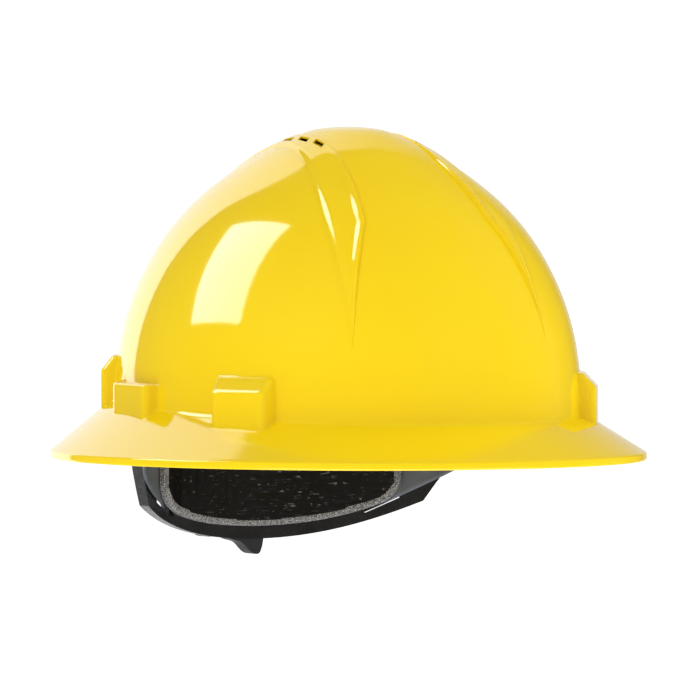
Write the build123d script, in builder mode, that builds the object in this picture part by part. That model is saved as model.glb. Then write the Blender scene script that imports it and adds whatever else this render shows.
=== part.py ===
from build123d import *
import os
from math import acos, atan, cos, degrees, pi, radians, sin, sqrt, tan

os.makedirs("parts", exist_ok=True)

# Full brim hard hat with a four point strap suspension and a ratchet nape cradle.
# The front of the hat faces -Y, +X is the wearer's left and +Z is up.
# The origin is the middle of the head opening, level with the lower edge of the brim.
# Angles named "angle" are degrees from the front, positive towards +X; 180 is the nape.

# Shell
shell_wall = 2.3
dome_half_length = 126.8
dome_half_width = 108.5
dome_base_height = 33.0
crown_height = 160.0
dome_skirt_depth = 25.0
brim_reach_length = 31.2
brim_reach_width = 31.5
lip_height = 3.6
lip_wall = 3.0
root_height_front = 20.4
root_height_rear = 31.8
root_embed = 2.0
cut_overrun = 20.0
# The dome's side view: share of its rise, and share of its half width at that height.
dome_profile_shares = [
    (0, 1),
    (0.095, 0.990),
    (0.190, 0.974),
    (0.381, 0.909),
    (0.572, 0.793),
    (0.724, 0.644),
    (0.839, 0.478),
    (0.915, 0.342),
    (0.961, 0.232),
    (0.9875, 0.150),
    (0.9972, 0.070),
    (0.99978, 0.020),
]

# Ribs and vents
rib_height = 1.9
# Each place is a share of the dome's half width, then of its half length.
rib_tip_shares = (0.4793, 0.8486)
rib_kink_shares = (0.2995, 0.6467)
rib_outer_mid_shares = (0.4516, 0.5994)
rib_crown_inner_share = 0.2014
rib_crown_outer_share = 0.3198
rib_floor_height = 45.0
vent_length = 9.2
vent_width = 3.4
vent_slant = 2.6
vent_pitch = 13.5
vent_count = 3
vent_front_y = 20.5
vent_inset = 2.0
vent_step_x = 1.2

# Pockets for the suspension keys and for accessories
front_key_angle = 52.5
rear_key_angle = 127.5
pocket_width = 32.0
pocket_proud_front = 7.6
pocket_proud_rear = 6.2
pocket_face_height = 13.0
pocket_roof_rise = 7.0
pocket_roof_back_share = 0.1
pocket_floor_drop = 9.0
pocket_round = 1.8
pocket_gap = 0.1
pocket_back_depth = 6.0
accessory_angle = 95.0
accessory_width = 41.0
accessory_proud = 5.8
accessory_height = 11.0
accessory_slot_width = 36.4

# Suspension keys
key_width = 24.0
key_blade_thickness = 2.6
key_blade_gap = 0.4
key_bridge_embed = 1.1
key_slot_play = 1.0
key_blade_height = 9.5
key_bridge_drop = 3.8
key_bridge_thickness = 3.0
key_leg_setback = 6.8
key_leg_thickness = 2.8
key_leg_height = 12.5
key_arm_width = 8.0
key_slot_height = 3.0
key_slot_bar = 3.0
key_round = 0.8

# Crown straps
crown_strap_width = 19.0
crown_strap_thickness = 1.3
crown_strap_drop = 39.0
crown_strap_crossing_gap = 0.6
crown_strap_tail = 5.0
crown_strap_tail_gap = 0.1

# Headband
band_setback_length = 23.8
band_setback_width = 13.5
band_thickness = 1.8
band_low = 4.0
band_high = 36.0
band_end_angle = 106.0
band_end_low = 8.5
band_taper_y = 45.0
band_end_height = 16.0
hook_gap = 0.2
soft_gap = 0.3

# Brow pad
brow_end_angle = 66.0
brow_thickness = 5.2
brow_edge_thickness = 3.2
brow_overhang = 2.5
brow_stations = 17
rivet_angle = 44.0
rivet_radius = 3.5
rivet_head = 1.0
rivet_shank_radius = 1.9
rivet_z = 21.0
rivet_seat = 0.1
rivet_play = 0.05
pad_end_pull_share = 0.35

# Nape cradle
cradle_setback = 6.0
cradle_wall = 2.0
cradle_rim_depth = 5.0
cradle_flange = 1.8
cradle_bottom = 42.3
cradle_corner_angle = 44.5
cradle_corner_drop = 24.0
cradle_top = 6.0
cradle_top_angle = 57.0
mouth_start_angle = 31.5
mouth_end_angle = 41.5
mouth_gap = 0.4

# Nape pad
nape_end_angle = 42.5
nape_thickness = 5.6
nape_edge_thickness = 3.6
nape_low = 36.0
nape_end_low = 24.0
nape_high = 9.0
nape_stations = 17
nape_back_recess = 1.9
nape_recess_start_angle = 30.0
nape_recess_end_angle = 37.5

# Ratchet
knob_height = 25.0
tooth_module = 1.0
pinion_teeth = 10
pressure_angle = 25.0
addendum_share = 0.70
dedendum_share = 0.95
backlash = 0.2
rack_half_height = 8.2
rack_thickness = 1.4
rack_gap = 0.3
rack_outer_reach = 48.0
rack_inner_reach = 9.5
rack_end_bar = 3.2
rack_outer_bar = 2.0
rack_tooth_embed = 0.4
flank_steps = 3
rack_slot_clearance = 0.6
shaft_radius = 3.5
shaft_running_gap = 0.05
pivot_radius = 2.0
cover_half_width = 27.0
cover_wall = 2.1
cover_gap = 0.35
cover_boss_radius = 15.5
cover_boss_depth = 4.5
boss_floor_rise = 0.6
cover_lug_radius = 3.0
cover_lug_embed = 0.5
detent_teeth = 36
detent_tip_radius = 12.0
detent_depth = 0.8
pawl_arms = 3
pawl_thickness = 2.6
pawl_width = 1.2
pawl_hub_radius = 5.6
pawl_tip_gap = 0.15
pawl_arm_gap = 0.5
pawl_nose_spread = 1.15
pawl_nose_height = 1.4
pawl_overhang_angle = 8.0
pawl_sweep_angle = 70.0
pawl_spoke_width = 2.4
knob_gap = 0.5
knob_depth = 10.0
knob_tip_radius = 26.5
knob_valley_radius = 19.0
knob_lobes = 5
knob_lobe_sharpness = 3
knob_lobe_steps = 12
knob_phase = 17.0
knob_rim = 3.0
knob_face = 3.4
knob_hub_radius = 5.4
cap_radius = 8.0
cap_thickness = 1.6
screw_head_radius = 3.2
screw_head_height = 2.0
screw_radius = 1.4
screw_length = 11.0
screw_web = 0.8
cover_screw_radius = 1.1
cover_screw_head_radius = 1.9
cover_screw_head = 0.9
cover_screw_proud = 0.15
cover_screw_length = 4.2
cover_screw_x = 20.0
cover_screw_rise = 13.2

# Side straps and rear hangers
side_strap_thickness = 1.6
side_strap_half_height = 8.0
strap_front_angle = 83.0
strap_inside_angle = 60.0
strap_bend_angle = 0.8
strap_slope_start_angle = 27.5
strap_slope_end_angle = 81.5
strap_corner_angle = 2.0
strap_end_gap_angle = 0.2
strap_stations = 20
hanger_width = 15.0
hanger_thickness = 1.6
hanger_setback = 1.9
hanger_bar = 3.0
hanger_foot_seat = 0.3
hanger_foot_gap = 0.1

quarter_turn = 90.0


def ellipse_radius(angle, half_width, half_length):
    """Distance from the axis to an ellipse, in the direction of the angle."""
    across = half_length * sin(radians(angle))
    along = half_width * cos(radians(angle))
    return half_width * half_length / sqrt(across ** 2 + along ** 2)


# Sizes that follow from the ones above
brim_half_length = dome_half_length + brim_reach_length
brim_half_width = dome_half_width + brim_reach_width
rib_tip_x, rib_tip_y = rib_tip_shares[0] * dome_half_width, rib_tip_shares[1] * dome_half_length
rib_kink_x, rib_kink_y = rib_kink_shares[0] * dome_half_width, rib_kink_shares[1] * dome_half_length
rib_outer_mid_x = rib_outer_mid_shares[0] * dome_half_width
rib_outer_mid_y = rib_outer_mid_shares[1] * dome_half_length
rib_crown_inner_x = rib_crown_inner_share * dome_half_width
rib_crown_outer_x = rib_crown_outer_share * dome_half_width
vent_front_x = (rib_crown_inner_x + rib_crown_outer_x) / 2 - vent_inset
key_wall_radius = ellipse_radius(front_key_angle, dome_half_width, dome_half_length)
key_wall_inside = ellipse_radius(front_key_angle, dome_half_width - shell_wall, dome_half_length - shell_wall)
key_leg_radius = key_wall_inside - key_leg_setback
key_bridge_reach = key_wall_radius - key_leg_radius - key_leg_thickness + key_bridge_embed
crown_strap_top = crown_height - crown_strap_drop
band_half_length = dome_half_length - band_setback_length
band_half_width = dome_half_width - band_setback_width
cradle_radius = key_leg_radius - cradle_setback
hanger_radius = key_leg_radius - hanger_setback
hanger_foot_radius = cradle_radius + hanger_foot_seat
pitch_radius = tooth_module * pinion_teeth / 2
addendum = addendum_share * tooth_module
dedendum = dedendum_share * tooth_module
tooth_pitch = pi * tooth_module
cradle_back = cradle_radius + cradle_wall
cradle_rim_radius = cradle_back + cradle_rim_depth
inner_rack_radius = cradle_back + rack_gap
outer_rack_radius = inner_rack_radius + rack_thickness + rack_gap
cover_inner_radius = outer_rack_radius + rack_thickness + rack_gap
cover_outer_radius = cover_inner_radius + cover_wall
cover_boss_rear = cover_outer_radius + cover_boss_depth
cover_lug_rear = cover_inner_radius + cover_lug_embed
knob_front = cover_boss_rear + knob_gap
screw_head_depth = sqrt(cradle_radius ** 2 - (cover_screw_x - cover_screw_head_radius) ** 2)
screw_seat_depth = screw_head_depth - cover_screw_proud + cover_screw_head
root_slope_rise = (root_height_rear - root_height_front) / 2
root_height_middle = (root_height_rear + root_height_front) / 2


def root_height(angle):
    """Height of the brim root: a plane that rises from the front to the nape."""
    return root_height_middle - root_slope_rise * cos(radians(angle))


def smooth_step(value, start, end):
    """Share that rises smoothly from 0 at the start to 1 at the end."""
    share = min(max((value - start) / (end - start), 0), 1)
    return share * share * (3 - 2 * share)


def rounded_corner(distance, corner):
    """Zero before a corner, the distance after it, and a parabola through the corner itself."""
    if abs(distance) > corner:
        return max(distance, 0)
    return (distance + corner) ** 2 / (4 * corner)


def radial_plane(angle):
    """Upright plane through the axis: x outwards, y up."""
    outwards = Vector(sin(radians(angle)), -cos(radians(angle)), 0)
    return Plane(origin=(0, 0, 0), x_dir=outwards, z_dir=outwards.cross(Vector(0, 0, 1)))


def radial_face(angle, radius):
    """Upright plane that faces outwards at a radius: x sideways, y up."""
    outwards = Vector(sin(radians(angle)), -cos(radians(angle)), 0)
    return Plane(origin=outwards * radius, x_dir=Vector(0, 0, 1).cross(outwards), z_dir=outwards)


def ellipse_frame(angle, half_width, half_length):
    """Point on an ellipse in the direction of the angle, and the outward direction there."""
    radius = ellipse_radius(angle, half_width, half_length)
    point = Vector(radius * sin(radians(angle)), -radius * cos(radians(angle)), 0)
    outwards = Vector(point.X / half_width ** 2, point.Y / half_length ** 2, 0).normalized()
    return point, outwards


def wall_section(angle):
    """Upright plane across the wall: x outwards from the dome's surface, y up."""
    point, outwards = ellipse_frame(angle, dome_half_width, dome_half_length)
    return Plane(origin=point, x_dir=outwards, z_dir=outwards.cross(Vector(0, 0, 1)))


def band_face(angle, offset):
    """Upright plane that faces out of the headband, at an offset from the middle of its thickness."""
    point, outwards = ellipse_frame(angle, band_half_width, band_half_length)
    return Plane(origin=point + outwards * offset, x_dir=Vector(0, 0, 1).cross(outwards), z_dir=outwards)


def rear_plane(depth):
    """Plane square to the ratchet's axis at a depth behind the hat's axis, seen from behind."""
    return Plane(origin=(0, depth, -knob_height), x_dir=(-1, 0, 0), z_dir=(0, 1, 0))


def make_dome(growth):
    """Solid dome, its outer surface moved outwards by the growth."""
    half_width = dome_half_width + growth
    half_length = dome_half_length + growth
    rise = crown_height + growth - dome_base_height
    with BuildPart(mode=Mode.PRIVATE) as dome:
        for rise_share, width_share in dome_profile_shares:
            with BuildSketch(Plane.XY.offset(dome_base_height + rise * rise_share)):
                Ellipse(half_width * width_share, half_length * width_share)
        loft()
        with BuildSketch(Plane.XY.offset(dome_base_height - dome_skirt_depth)):
            Ellipse(half_width, half_length)
        extrude(amount=dome_skirt_depth)
    return dome.part


def make_brim(edge_inset, drop, floor, edge_height):
    """Solid brim: an upright band at the edge, then a slope up to the tilted root ellipse."""
    width = brim_half_width - edge_inset
    length = brim_half_length - edge_inset
    run = brim_half_length - dome_half_length
    front = root_height_front + root_embed * (root_height_front - lip_height) / run - drop
    rear = root_height_rear + root_embed * (root_height_rear - lip_height) / run - drop
    root_width = dome_half_width - root_embed
    root_length = dome_half_length - root_embed
    tilt = atan((rear - front) / (2 * root_length))
    root_plane = Plane(origin=(0, 0, (front + rear) / 2), x_dir=(1, 0, 0), z_dir=(0, -sin(tilt), cos(tilt)))
    with BuildPart(mode=Mode.PRIVATE) as brim:
        with BuildSketch(Plane.XY.offset(edge_height)):
            Ellipse(width, length)
        with BuildSketch(root_plane):
            Ellipse(root_width, root_length / cos(tilt))
        loft(ruled=True)
        with BuildSketch(Plane.XY.offset(floor)):
            Ellipse(width, length)
        extrude(amount=edge_height - floor)
    return brim.part


def key_pocket_outline(angle, wall):
    """Section of a key pocket, its roof sloping back to the dome; with a wall, the space inside it."""
    base = root_height(angle)
    proud = pocket_proud_front if abs(angle) < accessory_angle else pocket_proud_rear
    top = base + pocket_face_height - wall
    roof = top + pocket_roof_rise
    back, floor = (pocket_gap, -cut_overrun) if wall else (-pocket_back_depth, base - pocket_floor_drop)
    return [(back, floor), (proud - wall, floor), (proud - wall, top),
            (pocket_roof_back_share * proud, roof), (back, roof)]


def accessory_outline(angle, wall):
    """Section of a low flat topped accessory pocket; with a wall, the slot inside it."""
    base = root_height(angle)
    top = base + accessory_height - wall
    back, floor = (pocket_gap, -cut_overrun) if wall else (-pocket_back_depth, base - pocket_floor_drop)
    return [(back, floor), (accessory_proud - wall, floor), (accessory_proud - wall, top), (back, top)]


def make_block(angle, width, outline, rounding):
    """Block with the given section across the wall, its free edges rounded."""
    section = wall_section(angle)
    with BuildPart(mode=Mode.PRIVATE) as block:
        with BuildSketch(section):
            with BuildLine():
                Polyline(*outline, close=True)
            make_face()
        extrude(amount=width / 2, both=True)
        if rounding:
            free = [e for e in block.edges() if section.to_local_coords(e.center()).X > rounding]
            upper = [e for e in free if e.center().Z > outline[0][1] + rounding]
            fillet(upper, rounding)
    return block.part


def make_rib(side):
    """Spindle shaped prism, seen from above, that bounds one rib from front tip to rear tip."""
    with BuildPart(mode=Mode.PRIVATE) as rib:
        with BuildSketch(Plane.XY.offset(rib_floor_height)):
            with BuildLine():
                tip = side * rib_tip_x
                outer = [(tip, -rib_tip_y), (side * rib_outer_mid_x, -rib_outer_mid_y),
                         (side * rib_crown_outer_x, 0),
                         (side * rib_outer_mid_x, rib_outer_mid_y), (tip, rib_tip_y)]
                Spline(*outer)
                kink = side * rib_kink_x
                crown = side * rib_crown_inner_x
                Line((tip, -rib_tip_y), (kink, -rib_kink_y))
                ThreePointArc((kink, -rib_kink_y), (crown, 0), (kink, rib_kink_y))
                Line((kink, rib_kink_y), (tip, rib_tip_y))
            make_face()
        extrude(amount=crown_height)
    return rib.part


def make_vents(side):
    """Row of slanted slots along one rib."""
    with BuildPart(mode=Mode.PRIVATE) as vents:
        for index in range(vent_count):
            x = side * (vent_front_x + vent_step_x * index)
            y = vent_pitch * index - vent_front_y
            with BuildSketch(Plane.XY.offset(crown_height - cut_overrun)):
                with BuildLine():
                    half = vent_length / 2
                    inner = x - side * vent_width / 2
                    outer = x + side * vent_width / 2
                    Polyline((inner, y - half + vent_slant / 2), (outer, y - half - vent_slant / 2),
                             (outer, y + half - vent_slant / 2), (inner, y + half + vent_slant / 2),
                             close=True)
                make_face()
            extrude(amount=cut_overrun * 2)
    return vents.part


key_angles = {
    "front_left": front_key_angle,
    "front_right": -front_key_angle,
    "rear_left": rear_key_angle,
    "rear_right": -rear_key_angle,
}


# Shell: dome, brim, ribs, pockets and vents in one moulding
with BuildPart() as shell:
    add(make_dome(0))
    add(make_brim(0, 0, 0, lip_height))
    for angle in key_angles.values():
        add(make_block(angle, pocket_width, key_pocket_outline(angle, 0), pocket_round))
    for angle in (-accessory_angle, accessory_angle):
        add(make_block(angle, accessory_width, accessory_outline(angle, 0), pocket_round))
    for side in (-1, 1):
        with BuildPart(mode=Mode.PRIVATE) as rib:
            add(make_dome(rib_height))
            add(make_rib(side), mode=Mode.INTERSECT)
        add(rib.part)
    add(make_dome(-shell_wall), mode=Mode.SUBTRACT)
    add(make_brim(lip_wall, shell_wall, -cut_overrun, lip_height), mode=Mode.SUBTRACT)
    for angle in key_angles.values():
        add(make_block(angle, pocket_width - 2 * shell_wall, key_pocket_outline(angle, shell_wall), 0),
            mode=Mode.SUBTRACT)
    for angle in (-accessory_angle, accessory_angle):
        add(make_block(angle, accessory_slot_width, accessory_outline(angle, shell_wall), 0),
            mode=Mode.SUBTRACT)
    for side in (-1, 1):
        add(make_vents(side), mode=Mode.SUBTRACT)


def finish(piece, name):
    """Label a finished piece and write its file."""
    piece.part.label = name
    export_step(piece.part, "parts/" + name + ".step")


finish(shell, "shell")


def arc_band(inner, outer, low, high, start, end):
    """Upright band that follows a circle round the hat's axis, from one angle to another."""
    with BuildPart(mode=Mode.PRIVATE) as band:
        with BuildSketch(radial_plane(start)):
            with Locations(((inner + outer) / 2, (low + high) / 2)):
                Rectangle(outer - inner, high - low)
        revolve(axis=Axis.Z, revolution_arc=end - start)
    return band.part


def band_radius(angle):
    """Distance from the axis to the middle of the headband's thickness."""
    return ellipse_radius(angle, band_half_width, band_half_length)


# Suspension keys: a blade in the shell's pocket, a bridge under the wall, a leg for the strap, and an arm
for name, angle in key_angles.items():
    base = root_height(angle)
    bridge_low = base - key_bridge_drop - key_bridge_thickness
    bridge_middle = bridge_low + key_bridge_thickness / 2
    front = abs(angle) < accessory_angle
    arm_end = band_radius(angle) - band_thickness / 2 if front else hanger_radius
    blade_back = key_blade_gap + key_blade_thickness
    slot_top = base + key_leg_height - key_slot_bar
    with BuildPart() as key:
        with BuildSketch(wall_section(angle)):
            with BuildLine():
                Polyline((blade_back, bridge_low), (blade_back, base + key_blade_height),
                         (key_blade_gap, base + key_blade_height),
                         (key_blade_gap, bridge_low + key_bridge_thickness),
                         (-key_bridge_reach, bridge_low + key_bridge_thickness),
                         (-key_bridge_reach, bridge_low), close=True)
            make_face()
        extrude(amount=key_width / 2 - key_round, both=True)
        with BuildSketch(radial_face(angle, key_leg_radius)):
            with Locations((0, (bridge_low + base + key_leg_height) / 2)):
                RectangleRounded(key_width, base + key_leg_height - bridge_low, key_round)
            with Locations((0, slot_top - key_slot_height / 2)):
                Rectangle(crown_strap_width + key_slot_play, key_slot_height, mode=Mode.SUBTRACT)
        extrude(amount=key_leg_thickness)
        with BuildSketch(radial_face(angle, arm_end)):
            with Locations((0, bridge_middle)):
                Rectangle(key_arm_width, key_bridge_thickness)
        extrude(amount=key_leg_radius - arm_end)
    finish(key, "suspension_key_" + name)

# Crown straps: two webbing arches that cross under the crown and hook through slots in the keys
crown_strap_ends = {
    "front_right_to_rear_left": (-front_key_angle, rear_key_angle, crown_strap_top),
    "front_left_to_rear_right": (front_key_angle, -rear_key_angle,
                                 crown_strap_top + crown_strap_thickness + crown_strap_crossing_gap),
}
tail_radius = key_leg_radius + key_leg_thickness + crown_strap_tail_gap
for name, (front_angle, rear_angle, top) in crown_strap_ends.items():
    with BuildPart() as strap:
        with BuildSketch(radial_plane(rear_angle)):
            for side, angle in ((1, rear_angle), (-1, front_angle)):
                slot = root_height(angle) + key_leg_height - key_slot_bar - key_slot_height / 2
                inside = key_leg_radius - crown_strap_thickness
                with BuildLine():
                    Line((side * key_leg_radius, slot), (side * inside, slot))
                    EllipticalCenterArc((0, slot), inside, top - crown_strap_thickness - slot,
                                        start_angle=0 if side > 0 else quarter_turn, arc_size=quarter_turn)
                    Line((0, top - crown_strap_thickness), (0, top))
                    EllipticalCenterArc((0, slot), key_leg_radius, top - slot,
                                        start_angle=0 if side > 0 else quarter_turn, arc_size=quarter_turn)
                make_face()
                with Locations((side * (inside + tail_radius) / 2, slot)):
                    Rectangle(tail_radius - inside, crown_strap_thickness)
                with Locations((side * (tail_radius + crown_strap_thickness / 2),
                                slot - (crown_strap_tail - crown_strap_thickness) / 2)):
                    Rectangle(crown_strap_thickness, crown_strap_tail)
        extrude(amount=crown_strap_width / 2, both=True)
    finish(strap, "crown_strap_" + name)

# Headband: an elliptical strip round the forehead, its ends narrower, with slots for the front keys' arms
band_end_y = -band_radius(band_end_angle) * cos(radians(band_end_angle))
front_key_low = root_height(front_key_angle) - key_bridge_drop - key_bridge_thickness
with BuildPart() as headband:
    with BuildSketch(Plane.XY.offset(band_low)):
        Ellipse(band_half_width + band_thickness / 2, band_half_length + band_thickness / 2)
        Ellipse(band_half_width - band_thickness / 2, band_half_length - band_thickness / 2,
                mode=Mode.SUBTRACT)
    extrude(amount=band_high - band_low)
    with BuildSketch(Plane.YZ):
        with BuildLine():
            front = -band_half_length - cut_overrun
            Polyline((front, band_low), (-band_taper_y, band_low), (band_end_y, band_end_low),
                     (band_end_y, band_end_low + band_end_height), (-band_taper_y, band_high),
                     (front, band_high), close=True)
        make_face()
    extrude(amount=band_half_width + cut_overrun, both=True, mode=Mode.INTERSECT)
    for side in (-1, 1):
        with BuildSketch(radial_face(side * front_key_angle, band_radius(front_key_angle) - cut_overrun)):
            with Locations((0, front_key_low + key_bridge_thickness / 2)):
                Rectangle(key_arm_width + 2 * hook_gap, key_bridge_thickness + 2 * hook_gap)
        extrude(amount=2 * cut_overrun, mode=Mode.SUBTRACT)
    for angle in (-rivet_angle, 0, rivet_angle):
        with BuildSketch(band_face(angle, -cut_overrun)):
            with Locations((0, rivet_z)):
                Circle(rivet_shank_radius)
        extrude(amount=2 * cut_overrun, mode=Mode.SUBTRACT)
finish(headband, "headband")

# Brow pad rivets: a flat head outside the headband and a shank through it
with BuildPart() as rivets:
    for angle in (-rivet_angle, 0, rivet_angle):
        with BuildSketch(band_face(angle, band_thickness / 2 + rivet_seat)):
            with Locations((0, rivet_z)):
                Circle(rivet_radius)
        extrude(amount=rivet_head)
        with BuildSketch(band_face(angle, -band_thickness / 2)):
            with Locations((0, rivet_z)):
                Circle(rivet_shank_radius - rivet_play)
        extrude(amount=band_thickness + rivet_seat)
finish(rivets, "brow_pad_rivets")


def pad_section(angle, back, low, high, middle_thickness, edge_thickness):
    """Upright section of a pad: a flat back, round edges and a crowned face towards the head."""
    round_rise = edge_thickness / 2
    with BuildSketch(radial_plane(angle), mode=Mode.PRIVATE) as section:
        with BuildLine():
            Line((back, low + round_rise), (back, high - round_rise))
            ThreePointArc((back, high - round_rise),
                          (back - edge_thickness / 2, high),
                          (back - edge_thickness, high - round_rise))
            ThreePointArc((back - edge_thickness, high - round_rise),
                          (back - middle_thickness, (low + high) / 2),
                          (back - edge_thickness, low + round_rise))
            ThreePointArc((back - edge_thickness, low + round_rise),
                          (back - edge_thickness / 2, low),
                          (back, low + round_rise))
        make_face()
    return section.sketch


def draw_in(share):
    """Share of a pad's full height at a share of the way from its middle to its end."""
    return sqrt(1 - pad_end_pull_share * share ** 4)


# Brow pad: a crowned cushion inside the headband, drawn in towards its ends
with BuildPart() as brow_pad:
    for index in range(brow_stations):
        share = 2 * index / (brow_stations - 1) - 1
        angle = share * brow_end_angle
        middle = (band_low + band_high) / 2
        half = (band_high - band_low + brow_overhang) / 2 * draw_in(abs(share))
        back = band_radius(angle) - band_thickness / 2 - soft_gap
        add(pad_section(angle, back, middle - half, middle + half, brow_thickness, brow_edge_thickness))
    loft()
finish(brow_pad, "brow_pad")

# Nape pad: a crowned cushion on the inside of the cradle, its lower edge following the cradle's
with BuildPart() as nape_pad:
    for index in range(nape_stations):
        share = 2 * index / (nape_stations - 1) - 1
        angle = 180 + share * nape_end_angle
        low = -nape_low + (nape_low - nape_end_low) * share ** 2
        middle = (low + nape_high) / 2
        half = (nape_high - low) / 2 * draw_in(abs(share))
        recess = nape_back_recess * smooth_step(abs(angle - 180), nape_recess_start_angle,
                                                nape_recess_end_angle)
        add(pad_section(angle, cradle_radius - soft_gap - recess, middle - half, middle + half,
                        nape_thickness, nape_edge_thickness))
    loft()
finish(nape_pad, "nape_pad")


def cradle_body(inner, outer, inset):
    """Curved slab between two radii; seen from behind it has a bowed lower edge and slanted ends."""
    corner_x = cradle_rim_radius * sin(radians(cradle_corner_angle)) - inset
    half_x = cradle_rim_radius * sin(radians(cradle_corner_angle / 2))
    top_x = cradle_rim_radius * sin(radians(cradle_top_angle)) - inset
    low = -cradle_bottom + inset
    corner = -cradle_corner_drop + inset
    half_low = low + (corner - low) / 4
    top = cradle_top - inset
    with BuildPart(mode=Mode.PRIVATE) as body:
        with BuildSketch(Plane.XZ):
            with BuildLine():
                Spline((-corner_x, corner), (-half_x, half_low), (0, low), (half_x, half_low),
                       (corner_x, corner))
                Polyline((corner_x, corner), (top_x, top), (-top_x, top), (-corner_x, corner))
            make_face()
        extrude(amount=-outer - cut_overrun)
        with BuildSketch(Plane.XY.offset(low - cut_overrun)):
            Circle(outer)
            Circle(inner, mode=Mode.SUBTRACT)
        extrude(amount=top - low + 2 * cut_overrun, mode=Mode.INTERSECT)
    return body.part


# Side straps: the line that each one follows; angles named "back" are degrees from the nape
strap_sides = {"right": (1, inner_rack_radius), "left": (-1, outer_rack_radius)}
strap_outside = band_radius(band_end_angle) + band_thickness / 2 + soft_gap + side_strap_thickness / 2
strap_inside = cradle_radius - soft_gap - side_strap_thickness / 2
strap_lowest = -knob_height - side_strap_half_height


def strap_radius(back, rack_radius):
    """Radius of a strap's middle: outside the headband, inside the cradle, then out to its rack."""
    at_rack = rack_radius + rack_thickness / 2
    inside = strap_inside + (strap_outside - strap_inside) * smooth_step(back, strap_inside_angle,
                                                                       180 - band_end_angle)
    return at_rack + (inside - at_rack) * smooth_step(back, mouth_start_angle + strap_bend_angle,
                                                      mouth_end_angle - strap_bend_angle)


def strap_low(back):
    """Height of a strap's lower edge: level at the rack, a slope, and level at the headband."""
    rise = (band_end_low - strap_lowest) / (strap_slope_end_angle - strap_slope_start_angle)
    start = rounded_corner(back - strap_slope_start_angle, strap_corner_angle)
    end = rounded_corner(back - strap_slope_end_angle, strap_corner_angle)
    return strap_lowest + rise * (start - end)


def strap_high(back):
    """Height of a strap's upper edge, so that the strap keeps its width on the slope."""
    step = strap_corner_angle
    slope = (strap_low(back + step) - strap_low(back - step)) / (2 * radians(step) * strap_inside)
    return strap_low(back) + 2 * side_strap_half_height * sqrt(1 + slope ** 2)


pinion_face_start = cradle_back + rack_gap / 2
pinion_face_end = cover_inner_radius - rack_gap / 2

# Nape cradle: a thin wall with a rim all round, windows for the straps and a bearing for the pinion
with BuildPart() as cradle:
    add(cradle_body(cradle_radius, cradle_rim_radius, 0))
    add(cradle_body(cradle_back, cradle_rim_radius + cut_overrun, cradle_flange), mode=Mode.SUBTRACT)
    for side in (-1, 1):
        middle = (mouth_start_angle + mouth_end_angle) / 2
        across = side * cradle_radius * tan(radians((mouth_end_angle - mouth_start_angle) / 2))
        with BuildSketch(radial_face(180 + side * middle, cradle_radius - cradle_wall)):
            with BuildLine():
                Polyline((-across, strap_low(mouth_start_angle) - mouth_gap),
                         (across, strap_low(mouth_end_angle) - mouth_gap),
                         (across, strap_high(mouth_end_angle) + mouth_gap),
                         (-across, strap_high(mouth_start_angle) + mouth_gap), close=True)
            make_face()
        extrude(amount=3 * cradle_wall, mode=Mode.SUBTRACT)
    with BuildSketch(rear_plane(cradle_radius - cradle_wall)):
        Circle(pivot_radius + shaft_running_gap)
    extrude(amount=3 * cradle_wall, mode=Mode.SUBTRACT)
    with BuildSketch(rear_plane(screw_seat_depth)):
        with Locations((-cover_screw_x, cover_screw_rise), (cover_screw_x, cover_screw_rise)):
            Circle(cover_screw_radius)
    extrude(amount=2 * cradle_wall, mode=Mode.SUBTRACT)
    with BuildSketch(rear_plane(screw_seat_depth)):
        with Locations((-cover_screw_x, cover_screw_rise), (cover_screw_x, cover_screw_rise)):
            Circle(cover_screw_head_radius + rivet_play)
    extrude(amount=-2 * cradle_wall, mode=Mode.SUBTRACT)
finish(cradle, "nape_cradle")


def make_rack(side, radius):
    """Toothed strap end: a curved strip with a long window, teeth along one edge of the window."""
    middle = radius + rack_thickness / 2
    inner_end = 180 - side * degrees(rack_inner_reach / middle)
    outer_end = 180 + side * degrees(rack_outer_reach / middle)
    window_inner = 180 - side * degrees((rack_inner_reach - rack_end_bar) / middle)
    window_outer = 180 + side * degrees((rack_outer_reach - rack_outer_bar) / middle)
    toothed = pitch_radius + dedendum
    plain = pitch_radius + addendum + rack_slot_clearance
    high, low = (toothed, plain) if side > 0 else (plain, toothed)
    tooth_half = tooth_pitch / 4 - backlash / 2
    spread = tan(radians(pressure_angle))
    first = -int((rack_inner_reach - rack_end_bar) / tooth_pitch - 0.5)
    last = int((rack_outer_reach - rack_outer_bar) / tooth_pitch - 0.5)
    with BuildPart() as rack:
        add(arc_band(radius, radius + rack_thickness, -knob_height - rack_half_height,
                     -knob_height + rack_half_height, min(inner_end, outer_end), max(inner_end, outer_end)))
        add(arc_band(radius - rack_thickness, radius + 2 * rack_thickness, -knob_height - low,
                     -knob_height + high, min(window_inner, window_outer), max(window_inner, window_outer)),
            mode=Mode.SUBTRACT)
        for index in range(first, last + 1):
            angle = 180 + side * degrees((index + 0.5) * tooth_pitch / middle)
            with BuildSketch(radial_face(angle, radius)):
                with BuildLine():
                    tip = side * (pitch_radius - addendum) - knob_height
                    root = side * (pitch_radius + dedendum + rack_tooth_embed) - knob_height
                    tip_half = tooth_half - addendum * spread
                    root_half = tooth_half + (dedendum + rack_tooth_embed) * spread
                    Polyline((-tip_half, tip), (tip_half, tip), (root_half, root), (-root_half, root),
                             close=True)
                make_face()
            extrude(amount=rack_thickness)
    return rack


for name, (side, rack_radius) in strap_sides.items():
    finish(make_rack(side, rack_radius), "rack_" + name)


def involute(angle):
    """The involute of an angle in radians."""
    return tan(angle) - angle


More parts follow.
